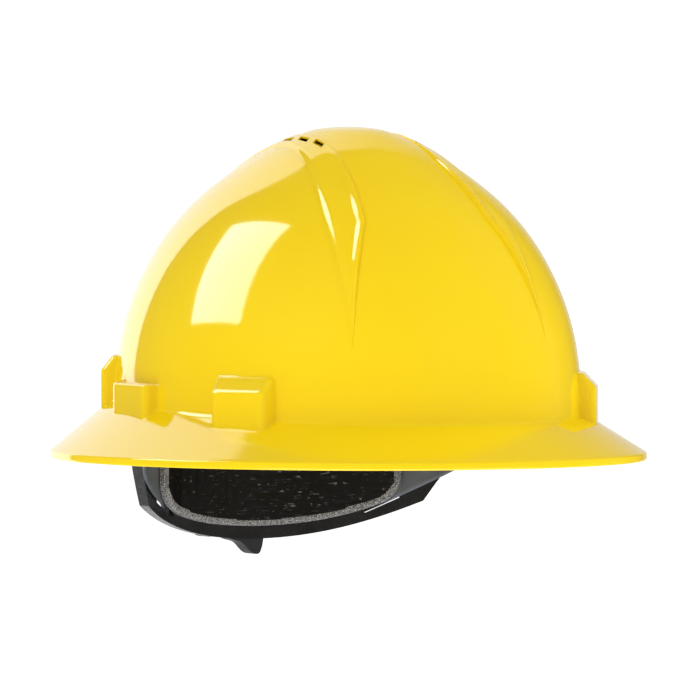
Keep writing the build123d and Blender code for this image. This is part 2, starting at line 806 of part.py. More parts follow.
def pinion_outline():
    """Points of the pinion: each tooth has a tip, two involute flanks and a root."""
    base_radius = pitch_radius * cos(radians(pressure_angle))
    tip_radius = pitch_radius + addendum
    root_radius = pitch_radius - dedendum
    half_at_pitch = (tooth_pitch / 2 - backlash) / (2 * pitch_radius)
    flank = []
    for step in range(flank_steps + 1):
        radius = base_radius + (tip_radius - base_radius) * step / flank_steps
        roll = acos(base_radius / radius)
        flank.append((radius, half_at_pitch + involute(radians(pressure_angle)) - involute(roll)))
    side = [(root_radius, flank[0][1])] + flank
    points = []
    for tooth in range(pinion_teeth):
        middle = pi / 2 + 2 * pi * tooth / pinion_teeth
        points += [(r * cos(middle - a), r * sin(middle - a)) for r, a in side]
        points += [(r * cos(middle + a), r * sin(middle + a)) for r, a in reversed(side)]
    return points


shaft_end = knob_front + knob_depth - cap_thickness - screw_head_height - screw_web

# Pinion: a toothed wheel with a pivot towards the head and a shaft for the knob
with BuildPart() as pinion:
    with BuildSketch(rear_plane(pinion_face_start)):
        with BuildLine():
            Polyline(*pinion_outline(), close=True)
        make_face()
    extrude(amount=pinion_face_end - pinion_face_start)
    with BuildSketch(rear_plane(cradle_radius)):
        Circle(pivot_radius)
    extrude(amount=pinion_face_start - cradle_radius)
    with BuildSketch(rear_plane(pinion_face_end)):
        Circle(shaft_radius)
    extrude(amount=shaft_end - pinion_face_end)
    with BuildSketch(rear_plane(shaft_end - screw_length + screw_web)):
        Circle(screw_radius)
    extrude(amount=screw_length + cut_overrun, mode=Mode.SUBTRACT)
finish(pinion, "pinion")

# Ratchet cover: a channel over the racks with a round boss that holds the detent teeth
cover_half_height = rack_half_height + cover_gap
cover_sweep = degrees(cover_half_width / cover_outer_radius)
boss_floor = cover_outer_radius + boss_floor_rise
detent_valley_radius = detent_tip_radius + detent_depth
with BuildPart() as cover:
    add(arc_band(cradle_back, cover_outer_radius, -knob_height - cover_half_height - cover_wall,
                 -knob_height + cover_half_height + cover_wall, 180 - cover_sweep, 180 + cover_sweep))
    with BuildSketch(rear_plane(cover_inner_radius)):
        Circle(cover_boss_radius)
    extrude(amount=cover_boss_rear - cover_inner_radius)
    with BuildSketch(rear_plane(screw_seat_depth)):
        with Locations((-cover_screw_x, cover_screw_rise), (cover_screw_x, cover_screw_rise)):
            Circle(cover_lug_radius)
    extrude(amount=cover_lug_rear - screw_seat_depth)
    add(arc_band(cradle_back - cover_wall, cover_inner_radius, -knob_height - cover_half_height,
                 -knob_height + cover_half_height, 180 - 2 * cover_sweep, 180 + 2 * cover_sweep),
        mode=Mode.SUBTRACT)
    add(arc_band(cradle_back - 4 * cover_wall, cradle_back, -knob_height - 4 * cover_half_height,
                 -knob_height + 4 * cover_half_height, 180 - 2 * cover_sweep, 180 + 2 * cover_sweep),
        mode=Mode.SUBTRACT)
    with BuildSketch(rear_plane(boss_floor)):
        with BuildLine():
            points = []
            for corner in range(2 * detent_teeth):
                radius = detent_tip_radius if corner % 2 else detent_valley_radius
                turn = pi / 2 + pi * corner / detent_teeth
                points.append((radius * cos(turn), radius * sin(turn)))
            Polyline(*points, close=True)
        make_face()
    extrude(amount=cut_overrun, mode=Mode.SUBTRACT)
    with BuildSketch(rear_plane(cover_inner_radius - cover_wall)):
        Circle(shaft_radius + shaft_running_gap)
    extrude(amount=cut_overrun, mode=Mode.SUBTRACT)
    with BuildSketch(rear_plane(screw_seat_depth)):
        with Locations((-cover_screw_x, cover_screw_rise), (cover_screw_x, cover_screw_rise)):
            Circle(cover_screw_radius)
    extrude(amount=cover_screw_length + rivet_seat, mode=Mode.SUBTRACT)
finish(cover, "ratchet_cover")

# Cover screws: driven from the inside of the cradle, under the pad, into the cover's lugs
with BuildPart() as cover_screws:
    with BuildSketch(rear_plane(screw_seat_depth)):
        with Locations((-cover_screw_x, cover_screw_rise), (cover_screw_x, cover_screw_rise)):
            Circle(cover_screw_head_radius)
    extrude(amount=-cover_screw_head)
    with BuildSketch(rear_plane(screw_seat_depth)):
        with Locations((-cover_screw_x, cover_screw_rise), (cover_screw_x, cover_screw_rise)):
            Circle(cover_screw_radius - rivet_play)
    extrude(amount=cover_screw_length)
finish(cover_screws, "cover_screws")

def pawl_finger():
    """One finger of the pawl spring: a spoke, a curved arm and a nose that points upwards."""
    outer = detent_tip_radius - pawl_arm_gap
    far = 2 * detent_valley_radius
    tip = detent_valley_radius - pawl_tip_gap
    spoke = radians(90 - pawl_sweep_angle)
    spoke_middle = (shaft_radius + outer) / 2
    with BuildSketch(mode=Mode.PRIVATE) as finger:
        Circle(outer)
        Circle(outer - pawl_width, mode=Mode.SUBTRACT)
        with BuildLine():
            sides = [radians(90 + pawl_overhang_angle), radians(90 - pawl_sweep_angle / 2), spoke]
            Polyline((0, 0), *[(far * cos(turn), far * sin(turn)) for turn in sides], close=True)
        make_face(mode=Mode.INTERSECT)
        with Locations((spoke_middle * cos(spoke), spoke_middle * sin(spoke))):
            Rectangle(outer - shaft_radius - rivet_seat, pawl_spoke_width, rotation=degrees(spoke))
        with BuildLine():
            half = pawl_nose_spread * pawl_nose_height
            Polyline((0, tip), (half, tip - pawl_nose_height), (-half, tip - pawl_nose_height), close=True)
        make_face()
    return finger.sketch


# Pawl spring: a ring on the shaft with curved fingers whose noses sit in the detent teeth
pawl_start = boss_floor + shaft_running_gap
with BuildPart() as pawl:
    with BuildSketch(rear_plane(pawl_start)):
        Circle(pawl_hub_radius)
        with PolarLocations(0, pawl_arms):
            add(pawl_finger())
        Circle(shaft_radius + shaft_running_gap, mode=Mode.SUBTRACT)
    extrude(amount=pawl_thickness)
finish(pawl, "pawl_spring")


def knob_outline():
    """Points of the lobed rim: a raised cosine for each lobe, its power making the lobes narrow."""
    points = []
    count = knob_lobe_steps * knob_lobes
    for index in range(count):
        turn = 2 * pi * index / count
        lobe = ((1 + cos(knob_lobes * turn)) / 2) ** knob_lobe_sharpness
        radius = knob_valley_radius + (knob_tip_radius - knob_valley_radius) * lobe
        place = turn - pi / 2 - radians(knob_phase)
        points.append((radius * cos(place), radius * sin(place)))
    return points


knob_back = knob_front + knob_depth
knob_hub_start = pawl_start + pawl_thickness + shaft_running_gap
# Ratchet knob: a lobed wheel, hollow towards the cover, with a hub on the pinion's shaft
with BuildPart() as knob:
    with BuildSketch(rear_plane(knob_front)):
        with BuildLine():
            Spline(*knob_outline(), periodic=True)
        make_face()
    extrude(amount=knob_depth)
    with BuildSketch(rear_plane(knob_front)):
        Circle(knob_valley_radius - knob_rim)
        Circle(knob_hub_radius, mode=Mode.SUBTRACT)
    extrude(amount=knob_depth - knob_face, mode=Mode.SUBTRACT)
    with BuildSketch(rear_plane(knob_hub_start)):
        Circle(knob_hub_radius)
    extrude(amount=knob_front - knob_hub_start)
    with BuildSketch(rear_plane(knob_hub_start)):
        Circle(shaft_radius + rivet_play)
    extrude(amount=shaft_end - knob_hub_start, mode=Mode.SUBTRACT)
    with BuildSketch(rear_plane(shaft_end)):
        Circle(screw_radius + rivet_play)
    extrude(amount=knob_back - shaft_end, mode=Mode.SUBTRACT)
    with BuildSketch(rear_plane(shaft_end + screw_web)):
        Circle(screw_head_radius + rivet_play)
    extrude(amount=knob_back - shaft_end, mode=Mode.SUBTRACT)
    with BuildSketch(rear_plane(knob_back - cap_thickness)):
        Circle(cap_radius + rivet_play)
    extrude(amount=cap_thickness + cut_overrun, mode=Mode.SUBTRACT)
finish(knob, "ratchet_knob")

# Knob screw: holds the knob on the pinion's shaft
with BuildPart() as screw:
    with BuildSketch(rear_plane(shaft_end + screw_web)):
        Circle(screw_head_radius)
    extrude(amount=screw_head_height)
    with BuildSketch(rear_plane(shaft_end + screw_web)):
        Circle(screw_radius - rivet_play)
    extrude(amount=-screw_length)
finish(screw, "knob_screw")

# Knob cap: a plain disc that closes the middle of the knob
with BuildPart() as cap:
    with BuildSketch(rear_plane(knob_back - cap_thickness)):
        Circle(cap_radius)
    extrude(amount=cap_thickness)
finish(cap, "knob_cap")


# Side straps: from the headband's ends down into the cradle's windows, where the toothed ends begin
for name, (side, rack_radius) in strap_sides.items():
    rack_back = degrees(rack_outer_reach / (rack_radius + rack_thickness / 2)) + strap_end_gap_angle
    with BuildPart() as side_strap:
        for index in range(strap_stations):
            back = rack_back + (strap_front_angle - rack_back) * index / (strap_stations - 1)
            low = strap_low(back)
            high = strap_high(back)
            with BuildSketch(radial_plane(180 + side * back)):
                with Locations((strap_radius(back, rack_radius), (low + high) / 2)):
                    Rectangle(side_strap_thickness, high - low)
        loft()
    finish(side_strap, "side_strap_" + name)

# Rear hangers: flexible links from the rear keys' arms down to the cradle's upper rim
rear_key_low = root_height(rear_key_angle) - key_bridge_drop - key_bridge_thickness
hanger_top = rear_key_low + key_bridge_thickness + hanger_bar
hanger_low = cradle_top + hanger_foot_gap
for side, name in ((1, "left"), (-1, "right")):
    angle = side * rear_key_angle
    with BuildPart() as hanger:
        with BuildSketch(radial_face(angle, hanger_radius)):
            with Locations((0, (hanger_low + hanger_top) / 2)):
                Rectangle(hanger_width, hanger_top - hanger_low)
            with Locations((0, rear_key_low + key_bridge_thickness / 2)):
                Rectangle(key_arm_width + 2 * hook_gap, key_bridge_thickness + 2 * hook_gap,
                          mode=Mode.SUBTRACT)
        extrude(amount=hanger_thickness)
        with BuildSketch(radial_face(angle, hanger_foot_radius)):
            with Locations((0, hanger_low + hanger_thickness / 2)):
                Rectangle(hanger_width, hanger_thickness)
        extrude(amount=hanger_radius + hanger_thickness - hanger_foot_radius)
    finish(hanger, "rear_hanger_" + name)
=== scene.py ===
# %% [markdown]
# # Full brim hard hat
# The hat is one glossy yellow moulding over a strap suspension with a ratchet nape cradle.
# The CAD frame holds every piece that works, and most of those keep their solid and only get a
# finish here. What the frame blocks in is modelled here in full: the moulded shell, the webbing,
# the two pads and the straps that bend.
# Lengths are millimetres in the frame's axes: the front of the hat faces -Y, +X is the wearer's
# left and +Z is up. Angles are degrees from the front, positive towards +X, so 180 is the nape.

from math import cos, pi, radians, sin

import bmesh
import bpy
import mathutils
import numpy as np
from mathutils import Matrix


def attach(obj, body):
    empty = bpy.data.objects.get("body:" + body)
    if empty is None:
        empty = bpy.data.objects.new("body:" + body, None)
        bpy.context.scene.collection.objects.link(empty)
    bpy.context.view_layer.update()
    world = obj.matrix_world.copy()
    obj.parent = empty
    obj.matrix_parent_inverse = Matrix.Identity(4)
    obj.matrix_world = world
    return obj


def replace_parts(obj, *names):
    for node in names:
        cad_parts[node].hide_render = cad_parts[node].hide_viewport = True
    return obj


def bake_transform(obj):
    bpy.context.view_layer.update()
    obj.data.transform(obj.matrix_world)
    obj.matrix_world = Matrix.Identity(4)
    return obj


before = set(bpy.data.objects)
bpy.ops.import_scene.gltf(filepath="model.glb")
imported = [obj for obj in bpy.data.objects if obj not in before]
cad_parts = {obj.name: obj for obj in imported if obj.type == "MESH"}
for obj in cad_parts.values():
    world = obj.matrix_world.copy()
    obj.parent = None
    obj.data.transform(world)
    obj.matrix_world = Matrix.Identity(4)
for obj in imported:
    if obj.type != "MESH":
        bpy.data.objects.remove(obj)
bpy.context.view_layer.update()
MM = 0.001
moulding_sharp_angle = 40.0
pad_sharp_angle = 60.0
print("frame loaded:", len(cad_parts), "nodes")

# %% [markdown]
# ## Mesh helpers
# A moulding, a strap and a pad are all one grid of points that is bent into shape, so the script
# builds grids with numpy and hands them to Blender in one go. A box with subdivision would also
# give smooth forms, but it can't follow the frame's ellipses and arcs to a tenth of a millimetre.
# Three helpers cover every piece: a tube closed round a section, a slab between two grids, and a
# path whose corners are true arcs.

# %% Mesh helpers
arc_least_share = 0.3
arc_most_share = 0.45


def piece_from(name, points, faces, body, slot, sharp_angle=moulding_sharp_angle):
    """New smooth shaded object from points in millimetres; its faces are turned to look outwards."""
    mesh = bpy.data.meshes.new(name)
    mesh.from_pydata((np.asarray(points) * MM).tolist(), [], faces)
    work = bmesh.new()
    work.from_mesh(mesh)
    bmesh.ops.recalc_face_normals(work, faces=work.faces)
    work.to_mesh(mesh)
    work.free()
    mesh.shade_smooth()
    mesh.set_sharp_from_angle(angle=radians(sharp_angle))
    piece = bpy.data.objects.new(name, mesh)
    bpy.context.scene.collection.objects.link(piece)
    if body:
        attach(piece, body)
    return piece


def grid_faces(rows, columns, closed=False, first=0):
    """Quads of a grid stored row by row; closed joins the last column to the first one."""
    row = np.arange(rows - 1)[:, None]
    column = np.arange(columns if closed else columns - 1)[None, :]
    beside = (column + 1) % columns
    corners = [row * columns + column, (row + 1) * columns + column,
               (row + 1) * columns + beside, row * columns + beside]
    return (np.stack(corners, axis=-1).reshape(-1, 4) + first).tolist()


def fan_faces(ring, pole):
    """Triangles from a ring of point numbers to one pole."""
    return [[ring[i], ring[(i + 1) % len(ring)], pole] for i in range(len(ring))]


def tube_mesh(rings):
    """Points and faces of a tube through rings of points, both ends closed on their middles."""
    stations, around = rings.shape[:2]
    points = np.concatenate([rings.reshape(-1, 3), rings[:1].mean(axis=1), rings[-1:].mean(axis=1)])
    faces = grid_faces(stations, around, closed=True)
    faces += fan_faces(list(range(around)), stations * around)
    faces += fan_faces(list(range((stations - 1) * around, stations * around)), stations * around + 1)
    return points, faces


def slab_mesh(top, bottom):
    """Points and faces of a closed slab between two grids of the same size."""
    rows, columns = top.shape[:2]
    count = rows * columns
    points = np.concatenate([top.reshape(-1, 3), bottom.reshape(-1, 3)])
    faces = grid_faces(rows, columns) + grid_faces(rows, columns, first=count)
    border = [i * columns for i in range(rows)]
    border += [(rows - 1) * columns + i for i in range(1, columns)]
    border += [(rows - 1 - i) * columns + columns - 1 for i in range(1, rows)]
    border += [columns - 1 - i for i in range(1, columns - 1)]
    for here, after in zip(border, border[1:] + border[:1]):
        faces.append([here, after, after + count, here + count])
    return points, faces


def rounded_path(corners, radii, arc_steps, between):
    """Paths through corner points with an arc at every inner corner.

    corners is (paths, corners, 3). An arc of radius r that turns by an angle starts and ends
    r * tan(angle / 2) from its corner, and a weight of cos(angle / 2) makes the curve round.
    between says how many points lie on each straight stretch. An arc takes at least a small share
    of its radius and at most almost half of the shorter stretch beside it.
    """
    rows = []
    leaving = corners[:, 0]
    for k, (steps, gap_steps) in enumerate(zip(arc_steps, between)):
        here = corners[:, k + 1]
        back = corners[:, k] - here
        ahead = corners[:, k + 2] - here
        back_length = np.linalg.norm(back, axis=-1, keepdims=True)
        ahead_length = np.linalg.norm(ahead, axis=-1, keepdims=True)
        back = back / back_length
        ahead = ahead / ahead_length
        turn = np.arccos(np.clip(-(back * ahead).sum(axis=-1, keepdims=True), -1, 1))
        radius = np.reshape(radii[k], (-1, 1))
        reach = np.maximum(radius * np.tan(turn / 2), arc_least_share * radius)
        reach = np.minimum(reach, arc_most_share * np.minimum(back_length, ahead_length))
        arriving = here + back * reach
        for step in range(gap_steps):
            share = (step + 1) / (gap_steps + 1)
            rows.append(leaving * (1 - share) + arriving * share)
        leaving = here + ahead * reach
        weight = np.cos(turn / 2)
        for share in np.linspace(0, 1, steps):
            parts = ((1 - share) ** 2, 2 * share * (1 - share) * weight, share ** 2)
            total = parts[0] + parts[1] + parts[2]
            rows.append((parts[0] * arriving + parts[1] * here + parts[2] * leaving) / total)
    for step in range(between[-1] + 1):
        share = (step + 1) / (between[-1] + 1)
        rows.append(leaving * (1 - share) + corners[:, -1] * share)
    return np.stack(rows, axis=1)


def smooth_step(value, start, end):
    """Share that rises smoothly from 0 at the start to 1 at the end."""
    share = np.clip((value - start) / (end - start), 0, 1)
    return share * share * (3 - 2 * share)


def spline(knots, values, at):
    """Values at places on the cubic curve through the knots whose bend is zero at both ends."""
    gaps = np.diff(knots)
    steps = np.diff(values) / gaps
    matrix = np.eye(len(knots))
    bends = np.zeros(len(knots))
    for i in range(1, len(knots) - 1):
        matrix[i, i - 1:i + 2] = gaps[i - 1], 2 * (gaps[i - 1] + gaps[i]), gaps[i]
        bends[i] = 6 * (steps[i] - steps[i - 1])
    bends = np.linalg.solve(matrix, bends)
    part = np.clip(np.searchsorted(knots, at) - 1, 0, len(gaps) - 1)
    along = at - knots[part]
    gap = gaps[part]
    slope = steps[part] - gap * (2 * bends[part] + bends[part + 1]) / 6
    cubic = (bends[part + 1] - bends[part]) / (6 * gap)
    return values[part] + along * (slope + along * (bends[part] / 2 + along * cubic))


def outwards(angle):
    """Unit directions away from the hat's axis, in plan."""
    turn = np.radians(angle)
    return np.stack([np.sin(turn), -np.cos(turn), np.zeros_like(turn)], axis=-1)


def at(angle, radius, height):
    """Points from an angle, a distance from the axis and a height."""
    angle, radius, height = np.broadcast_arrays(np.asarray(angle, float), radius, height)
    points = outwards(angle) * radius[..., None]
    points[..., 2] = height
    return points


def ellipse_radius(angle, half_width, half_length):
    """Distance from the axis to an ellipse, in the direction of the angle."""
    turn = np.radians(angle)
    across = half_length * np.sin(turn)
    along = half_width * np.cos(turn)
    return half_width * half_length / np.sqrt(across ** 2 + along ** 2)


def carve(piece, cutter):
    """Cuts the cutter's volume out of a piece and removes the cutter."""
    cut = piece.modifiers.new("cut", "BOOLEAN")
    cut.object = cutter
    cut.operation = "DIFFERENCE"
    cut.solver = "EXACT"
    shape = bpy.data.meshes.new_from_object(
        piece.evaluated_get(bpy.context.evaluated_depsgraph_get()))
    piece.modifiers.clear()
    piece.data = shape
    piece.data.shade_smooth()
    piece.data.set_sharp_from_angle(angle=radians(moulding_sharp_angle))
    bpy.data.objects.remove(cutter)


# %% [markdown]
# ## The dome's surface
# The dome is an ellipse in plan whose width shrinks with height. Its side view is known at a few
# heights only, so a cubic curve goes through those points and over the crown to the other side,
# which keeps the top level and the curvature steady. A glossy shell shows every wave in its
# curvature, so straight pieces between the points would not do.

# %% Dome and brim surfaces
shell_wall = 2.3
dome_half_length = 126.8
dome_half_width = 108.5
dome_base_height = 33.0
crown_height = 160.0
brim_half_length = 158.0
brim_half_width = 140.0
lip_height = 3.6
lip_wall = 3.0
root_height_front = 20.4
root_height_rear = 31.8
skirt_share = 0.2
dome_profile_shares = [
    (0, 1), (0.095, 0.990), (0.190, 0.974), (0.381, 0.909), (0.572, 0.793), (0.724, 0.644),
    (0.839, 0.478), (0.915, 0.342), (0.961, 0.232), (0.9875, 0.150), (0.9972, 0.070),
]


def profile_table(samples=4000):
    """The dome's side view from crown to skirt: distance share, rise share and width share."""
    rise = crown_height - dome_base_height
    side = [(-skirt_share, 1), (-skirt_share / 2, 1)] + dome_profile_shares
    over = [(1, 0)] + [(height, -width) for height, width in reversed(dome_profile_shares)]
    knots = np.array(side + over, float)
    steps = np.hypot(np.diff(knots[:, 0]) * rise, np.diff(knots[:, 1]) * dome_half_length)
    lengths = np.concatenate([[0], np.cumsum(steps)])
    crown = lengths[len(side)]
    places = np.linspace(crown, 0, samples)
    rises = spline(lengths, knots[:, 0], places)
    widths = spline(lengths, knots[:, 1], places)
    widths[0] = 0
    return 1 - places / crown, rises, widths


place_table, rise_table, width_table = profile_table()


def root_height(angle):
    """Height of the brim root: a plane that rises from the front to the nape."""
    middle = (root_height_rear + root_height_front) / 2
    return middle - (root_height_rear - root_height_front) / 2 * np.cos(np.radians(angle))


def wall_point(angle, height, growth=0.0):
    """Point on the dome's side at a height; the growth moves the surface outwards."""
    share = (height - dome_base_height) / (crown_height + growth - dome_base_height)
    width = np.interp(share, rise_table[::-1], width_table[::-1])
    radius = ellipse_radius(angle, dome_half_width + growth, dome_half_length + growth)
    return at(angle, radius * width, height)


def wall_place(height, growth=0.0):
    """Share of the way from the crown down to a height."""
    share = (height - dome_base_height) / (crown_height + growth - dome_base_height)
    return np.interp(share, rise_table[::-1], place_table[::-1])


def dome_point(angle, place, growth=0.0):
    """Point on the dome at a share of the way from its crown to its skirt."""
    rise = np.interp(place, place_table, rise_table)
    width = np.interp(place, place_table, width_table)
    radius = ellipse_radius(angle, dome_half_width + growth, dome_half_length + growth)
    height = dome_base_height + rise * (crown_height + growth - dome_base_height)
    return at(angle, radius * width, height)


def brim_height(points):
    """Height of the brim's slope under points in plan."""
    angle = np.degrees(np.arctan2(points[..., 0], -points[..., 1]))
    radius = np.hypot(points[..., 0], points[..., 1])
    root = ellipse_radius(angle, dome_half_width, dome_half_length)
    edge = ellipse_radius(angle, brim_half_width, brim_half_length)
    share = (radius - root) / (edge - root)
    return root_height(angle) * (1 - share) + lip_height * share


print("dome profile from", width_table[0], "to", width_table[-1])

# %% [markdown]
# ## Where the shell's columns stand
# The shell is one grid of columns that run from the crown down the wall, out along the brim, round
# the lip and back up the inside. Each pocket is pushed out of the same grid, so the moulding stays
# one skin with no seams. Columns crowd together at a pocket's sides: there a lift goes from 0 on
# the wall to 1 on the pocket's face, through a small fillet, the side, and a round outer edge.

# %% Shell columns
front_key_angle = 52.5
rear_key_angle = 127.5
accessory_angle = 95.0
pocket_width = 32.0
pocket_proud_front = 7.6
pocket_proud_rear = 6.2
pocket_face_height = 13.0
pocket_roof_rise = 7.0
pocket_roof_back_share = 0.1
accessory_width = 41.0
accessory_proud = 5.8
accessory_height = 11.0
accessory_slot_width = 36.4
pocket_draft = 0.5
pocket_side_fillet = 1.3
pocket_edge_round = 3.6
fillet_steps = 5
edge_round_steps = 7
side_middle_lift = 0.5
face_shares = (0.8, 0.6, 0.4, 0.2)
column_spacing = 1.1
widest_gap = 2.5 * column_spacing

pockets = [
    {"angle": angle, "width": width, "proud": proud, "accessory": accessory}
    for angle, width, proud, accessory in (
        (front_key_angle, pocket_width, pocket_proud_front, False),
        (accessory_angle, accessory_width, accessory_proud, True),
        (rear_key_angle, pocket_width, pocket_proud_rear, False),
        (-rear_key_angle, pocket_width, pocket_proud_rear, False),
        (-accessory_angle, accessory_width, accessory_proud, True),
        (-front_key_angle, pocket_width, pocket_proud_front, False),
    )
]


def wall_frame(angle):
    """Point on the dome's wall, the outward direction there and the sideways one."""
    point = outwards(angle) * ellipse_radius(angle, dome_half_width, dome_half_length)
    out = point / np.array([dome_half_width ** 2, dome_half_length ** 2, 1])
    out = out / np.linalg.norm(out)
    return point, out, np.array([-out[1], out[0], 0])


def side_columns(width, proud):
    """(sideways distance, lift) from the wall beside a pocket to the middle of its face."""
    half = width / 2
    pairs = []
    for turn in np.linspace(0, pi / 2, fillet_steps):
        pairs.append((half + pocket_draft + pocket_side_fillet * (1 - sin(turn)),
                      pocket_side_fillet / proud * (1 - cos(turn))))
    pairs.append((half + pocket_draft / 2, side_middle_lift))
    for turn in np.linspace(0, pi / 2, edge_round_steps):
        pairs.append((half - pocket_edge_round * (1 - cos(turn)),
                      1 - pocket_edge_round / proud * (1 - sin(turn))))
    inner = half - pocket_edge_round
    for share in face_shares:
        pairs.append((inner * share, 1.0))
    return pairs


def shell_columns():
    """Angle, lift, sideways distance and pocket number of every column, in order round the hat."""
    columns = []
    for number, pocket in enumerate(pockets):
        point, out, side = wall_frame(pocket["angle"])
        pairs = side_columns(pocket["width"], pocket["proud"])
        across = [(-s, lift) for s, lift in pairs] + [(0.0, 1.0)]
        across += [(s, lift) for s, lift in reversed(pairs)]
        for s, lift in across:
            place = point + side * s
            angle = np.degrees(np.arctan2(place[0], -place[1])) % 360
            columns.append((angle, lift, s, number))
    columns.sort()
    filled = []
    for here, after in zip(columns, columns[1:] + [(columns[0][0] + 360, 0, 0, -1)]):
        filled.append(here)
        gap = after[0] - here[0]
        if gap > widest_gap:
            count = round(gap / column_spacing)
            for step in range(1, count):
                filled.append((here[0] + gap * step / count, 0.0, 0.0, -1))
    return np.array(filled)


columns = shell_columns()
print("shell columns:", len(columns))

# %% [markdown]
# ## The shell's skin
# Every column is a path through corner points: the wall, a pocket's ledge, roof and face, the
# crease at the brim, the lip and the way back inside. A plain column has the same corners, laid
# flat on the wall, so its rows line up with the pocket's rows. Blending the two paths by the lift
# then draws the pocket's sides. The crease is a fillet, because a moulded crease catches light as
# a soft line, and the lip is rolled twice for the bright line along its upper edge.

# %% Shell skin
dome_rows = 56
inner_rows = 24
crease_round = 3.4
pocket_crease_round = 1.1
lip_round = 1.3
lip_under_round = 1.1
wall_corner_round = 0.9
ledge_round = 1.7
roof_edge_round = 2.4
inner_lip_round = 0.6
inner_wall_round = 1.0
inner_wall_rise = 4.0
above_pocket_rise = 2.6
plain_ledge_drop = 1.6
accessory_top_rise = 0.6
accessory_ledge_drop = 0.3
groove_depth = 0.5
groove_place_share = 0.45
path_arcs = (3, 4, 7, 9, 7, 6, 3, 3, 3)
path_between = (1, 1, 3, 4, 12, 1, 1, 1, 8, 1)


def shared_corners(angle):
    """The corners that every column has: lip, inside of the lip, inner crease, inner wall."""
    edge = ellipse_radius(angle, brim_half_width, brim_half_length)
    inner_edge = ellipse_radius(angle, brim_half_width - lip_wall, brim_half_length - lip_wall)
    inner_wall = ellipse_radius(angle, dome_half_width - shell_wall, dome_half_length - shell_wall)
    root = root_height(angle)
    run = ellipse_radius(angle, brim_half_width, brim_half_length) - inner_wall
    crease = root - shell_wall + shell_wall * (root - lip_height) / run
    return [at(angle, edge, lip_height), at(angle, edge, 0.0), at(angle, inner_edge, 0.0),
            at(angle, inner_edge, lip_height), at(angle, inner_wall, crease),
            wall_point(angle, crease + inner_wall_rise, -shell_wall)]


def plain_corners(angle, low):
    """The corners of a column that has no pocket, laid on the wall.

    low marks the columns at an accessory pocket, whose corners gather at that pocket's flat top.
    A column half way up a pocket's side is a mean of both paths, so their heights must agree.
    """
    root = root_height(angle)
    wall = ellipse_radius(angle, dome_half_width, dome_half_length)
    face = root + np.where(low, accessory_height, pocket_face_height)
    top = face + np.where(low, accessory_top_rise, pocket_roof_rise)
    heights = [root + pocket_face_height + pocket_roof_rise + above_pocket_rise, top,
               top - np.where(low, accessory_ledge_drop, plain_ledge_drop), face]
    corners = [wall_point(angle, height) for height in heights] + [at(angle, wall, root)]
    return np.stack(corners + shared_corners(angle), axis=1)


def pocket_corners(angle, sideways, pocket):
    """The corners of a column over a pocket: ledge, roof, face, and the crease on the brim."""
    point, out, side = wall_frame(pocket["angle"])
    proud = pocket["proud"]
    base = root_height(pocket["angle"])
    middle = point + side * sideways[:, None]
    if pocket["accessory"]:
        top = base + accessory_height
        ledge = middle + out * proud * groove_place_share
        ledge[:, 2] = top
        face_top = top
    else:
        top = base + pocket_face_height + pocket_roof_rise
        ledge = middle + out * proud * pocket_roof_back_share
        ledge[:, 2] = top
        face_top = base + pocket_face_height
    face = middle + out * proud
    face[:, 2] = face_top
    foot = face.copy()
    foot[:, 2] = brim_height(face)
    above = root_height(angle) + pocket_face_height + pocket_roof_rise + above_pocket_rise
    corners = [wall_point(angle, above), wall_point(angle, np.full_like(angle, top)), ledge, face, foot]
    return np.stack(corners + shared_corners(angle), axis=1)


def shell_paths():
    """Rows of points down every column, from above the pockets to the inner wall."""
    angle, lift, sideways, number = columns.T
    count = len(angle)
    radii = [np.full(count, r) for r in (
        wall_corner_round, ledge_round, roof_edge_round, crease_round, lip_round,
        lip_under_round, inner_lip_round, inner_lip_round, inner_wall_round)]
    accessory = [index for index, pocket in enumerate(pockets) if pocket["accessory"]]
    plain = plain_corners(angle, np.isin(number, accessory))
    plain = rounded_path(plain, radii, path_arcs, path_between)
    wall_rows = sum(path_arcs[:3]) + sum(path_between[:4])
    plain[:, :wall_rows] = wall_point(angle[:, None], plain[:, :wall_rows, 2])
    blended = plain.copy()
    radii[3] = np.full(count, pocket_crease_round)
    ledge_row = path_between[0] + path_arcs[0] + path_between[1]
    for index, pocket in enumerate(pockets):
        own = number == index
        corners = pocket_corners(angle[own], sideways[own], pocket)
        path = rounded_path(corners, [r[own] for r in radii], path_arcs, path_between)
        if pocket["accessory"]:
            path[:, ledge_row + 1:ledge_row + 3, 2] -= groove_depth
        share = lift[own][:, None, None]
        blended[own] = plain[own] * (1 - share) + path * share
    return blended.transpose(1, 0, 2)


def shell_mesh():
    """Points and faces of the whole shell, poles closed at the crown, outside and inside."""
    angle = columns[:, 0]
    paths = shell_paths()
    start = wall_place(paths[0, :, 2])
    shares = np.arange(1, dome_rows + 1) / (dome_rows + 1)
    outer = dome_point(angle[None, :], start[None, :] * shares[:, None])
    inner_start = wall_place(paths[-1, :, 2], -shell_wall)
    inner_shares = 1 - np.arange(1, inner_rows + 1) / (inner_rows + 1)
    inner = dome_point(angle[None, :], inner_start[None, :] * inner_shares[:, None], -shell_wall)
    rows = np.concatenate([outer, paths, inner])
    count = len(angle)
    points = np.concatenate([rows.reshape(-1, 3), [[0, 0, crown_height]],
                             [[0, 0, crown_height - shell_wall]]])
    faces = grid_faces(len(rows), count, closed=True)
    faces += fan_faces(list(range(count)), len(rows) * count)
    last = (len(rows) - 1) * count
    faces += fan_faces(list(range(last, last + count)), len(rows) * count + 1)
    return points, faces


shell = piece_from("shell_moulding", *shell_mesh(), "hat", "shell")
print("shell faces:", len(shell.data.polygons))

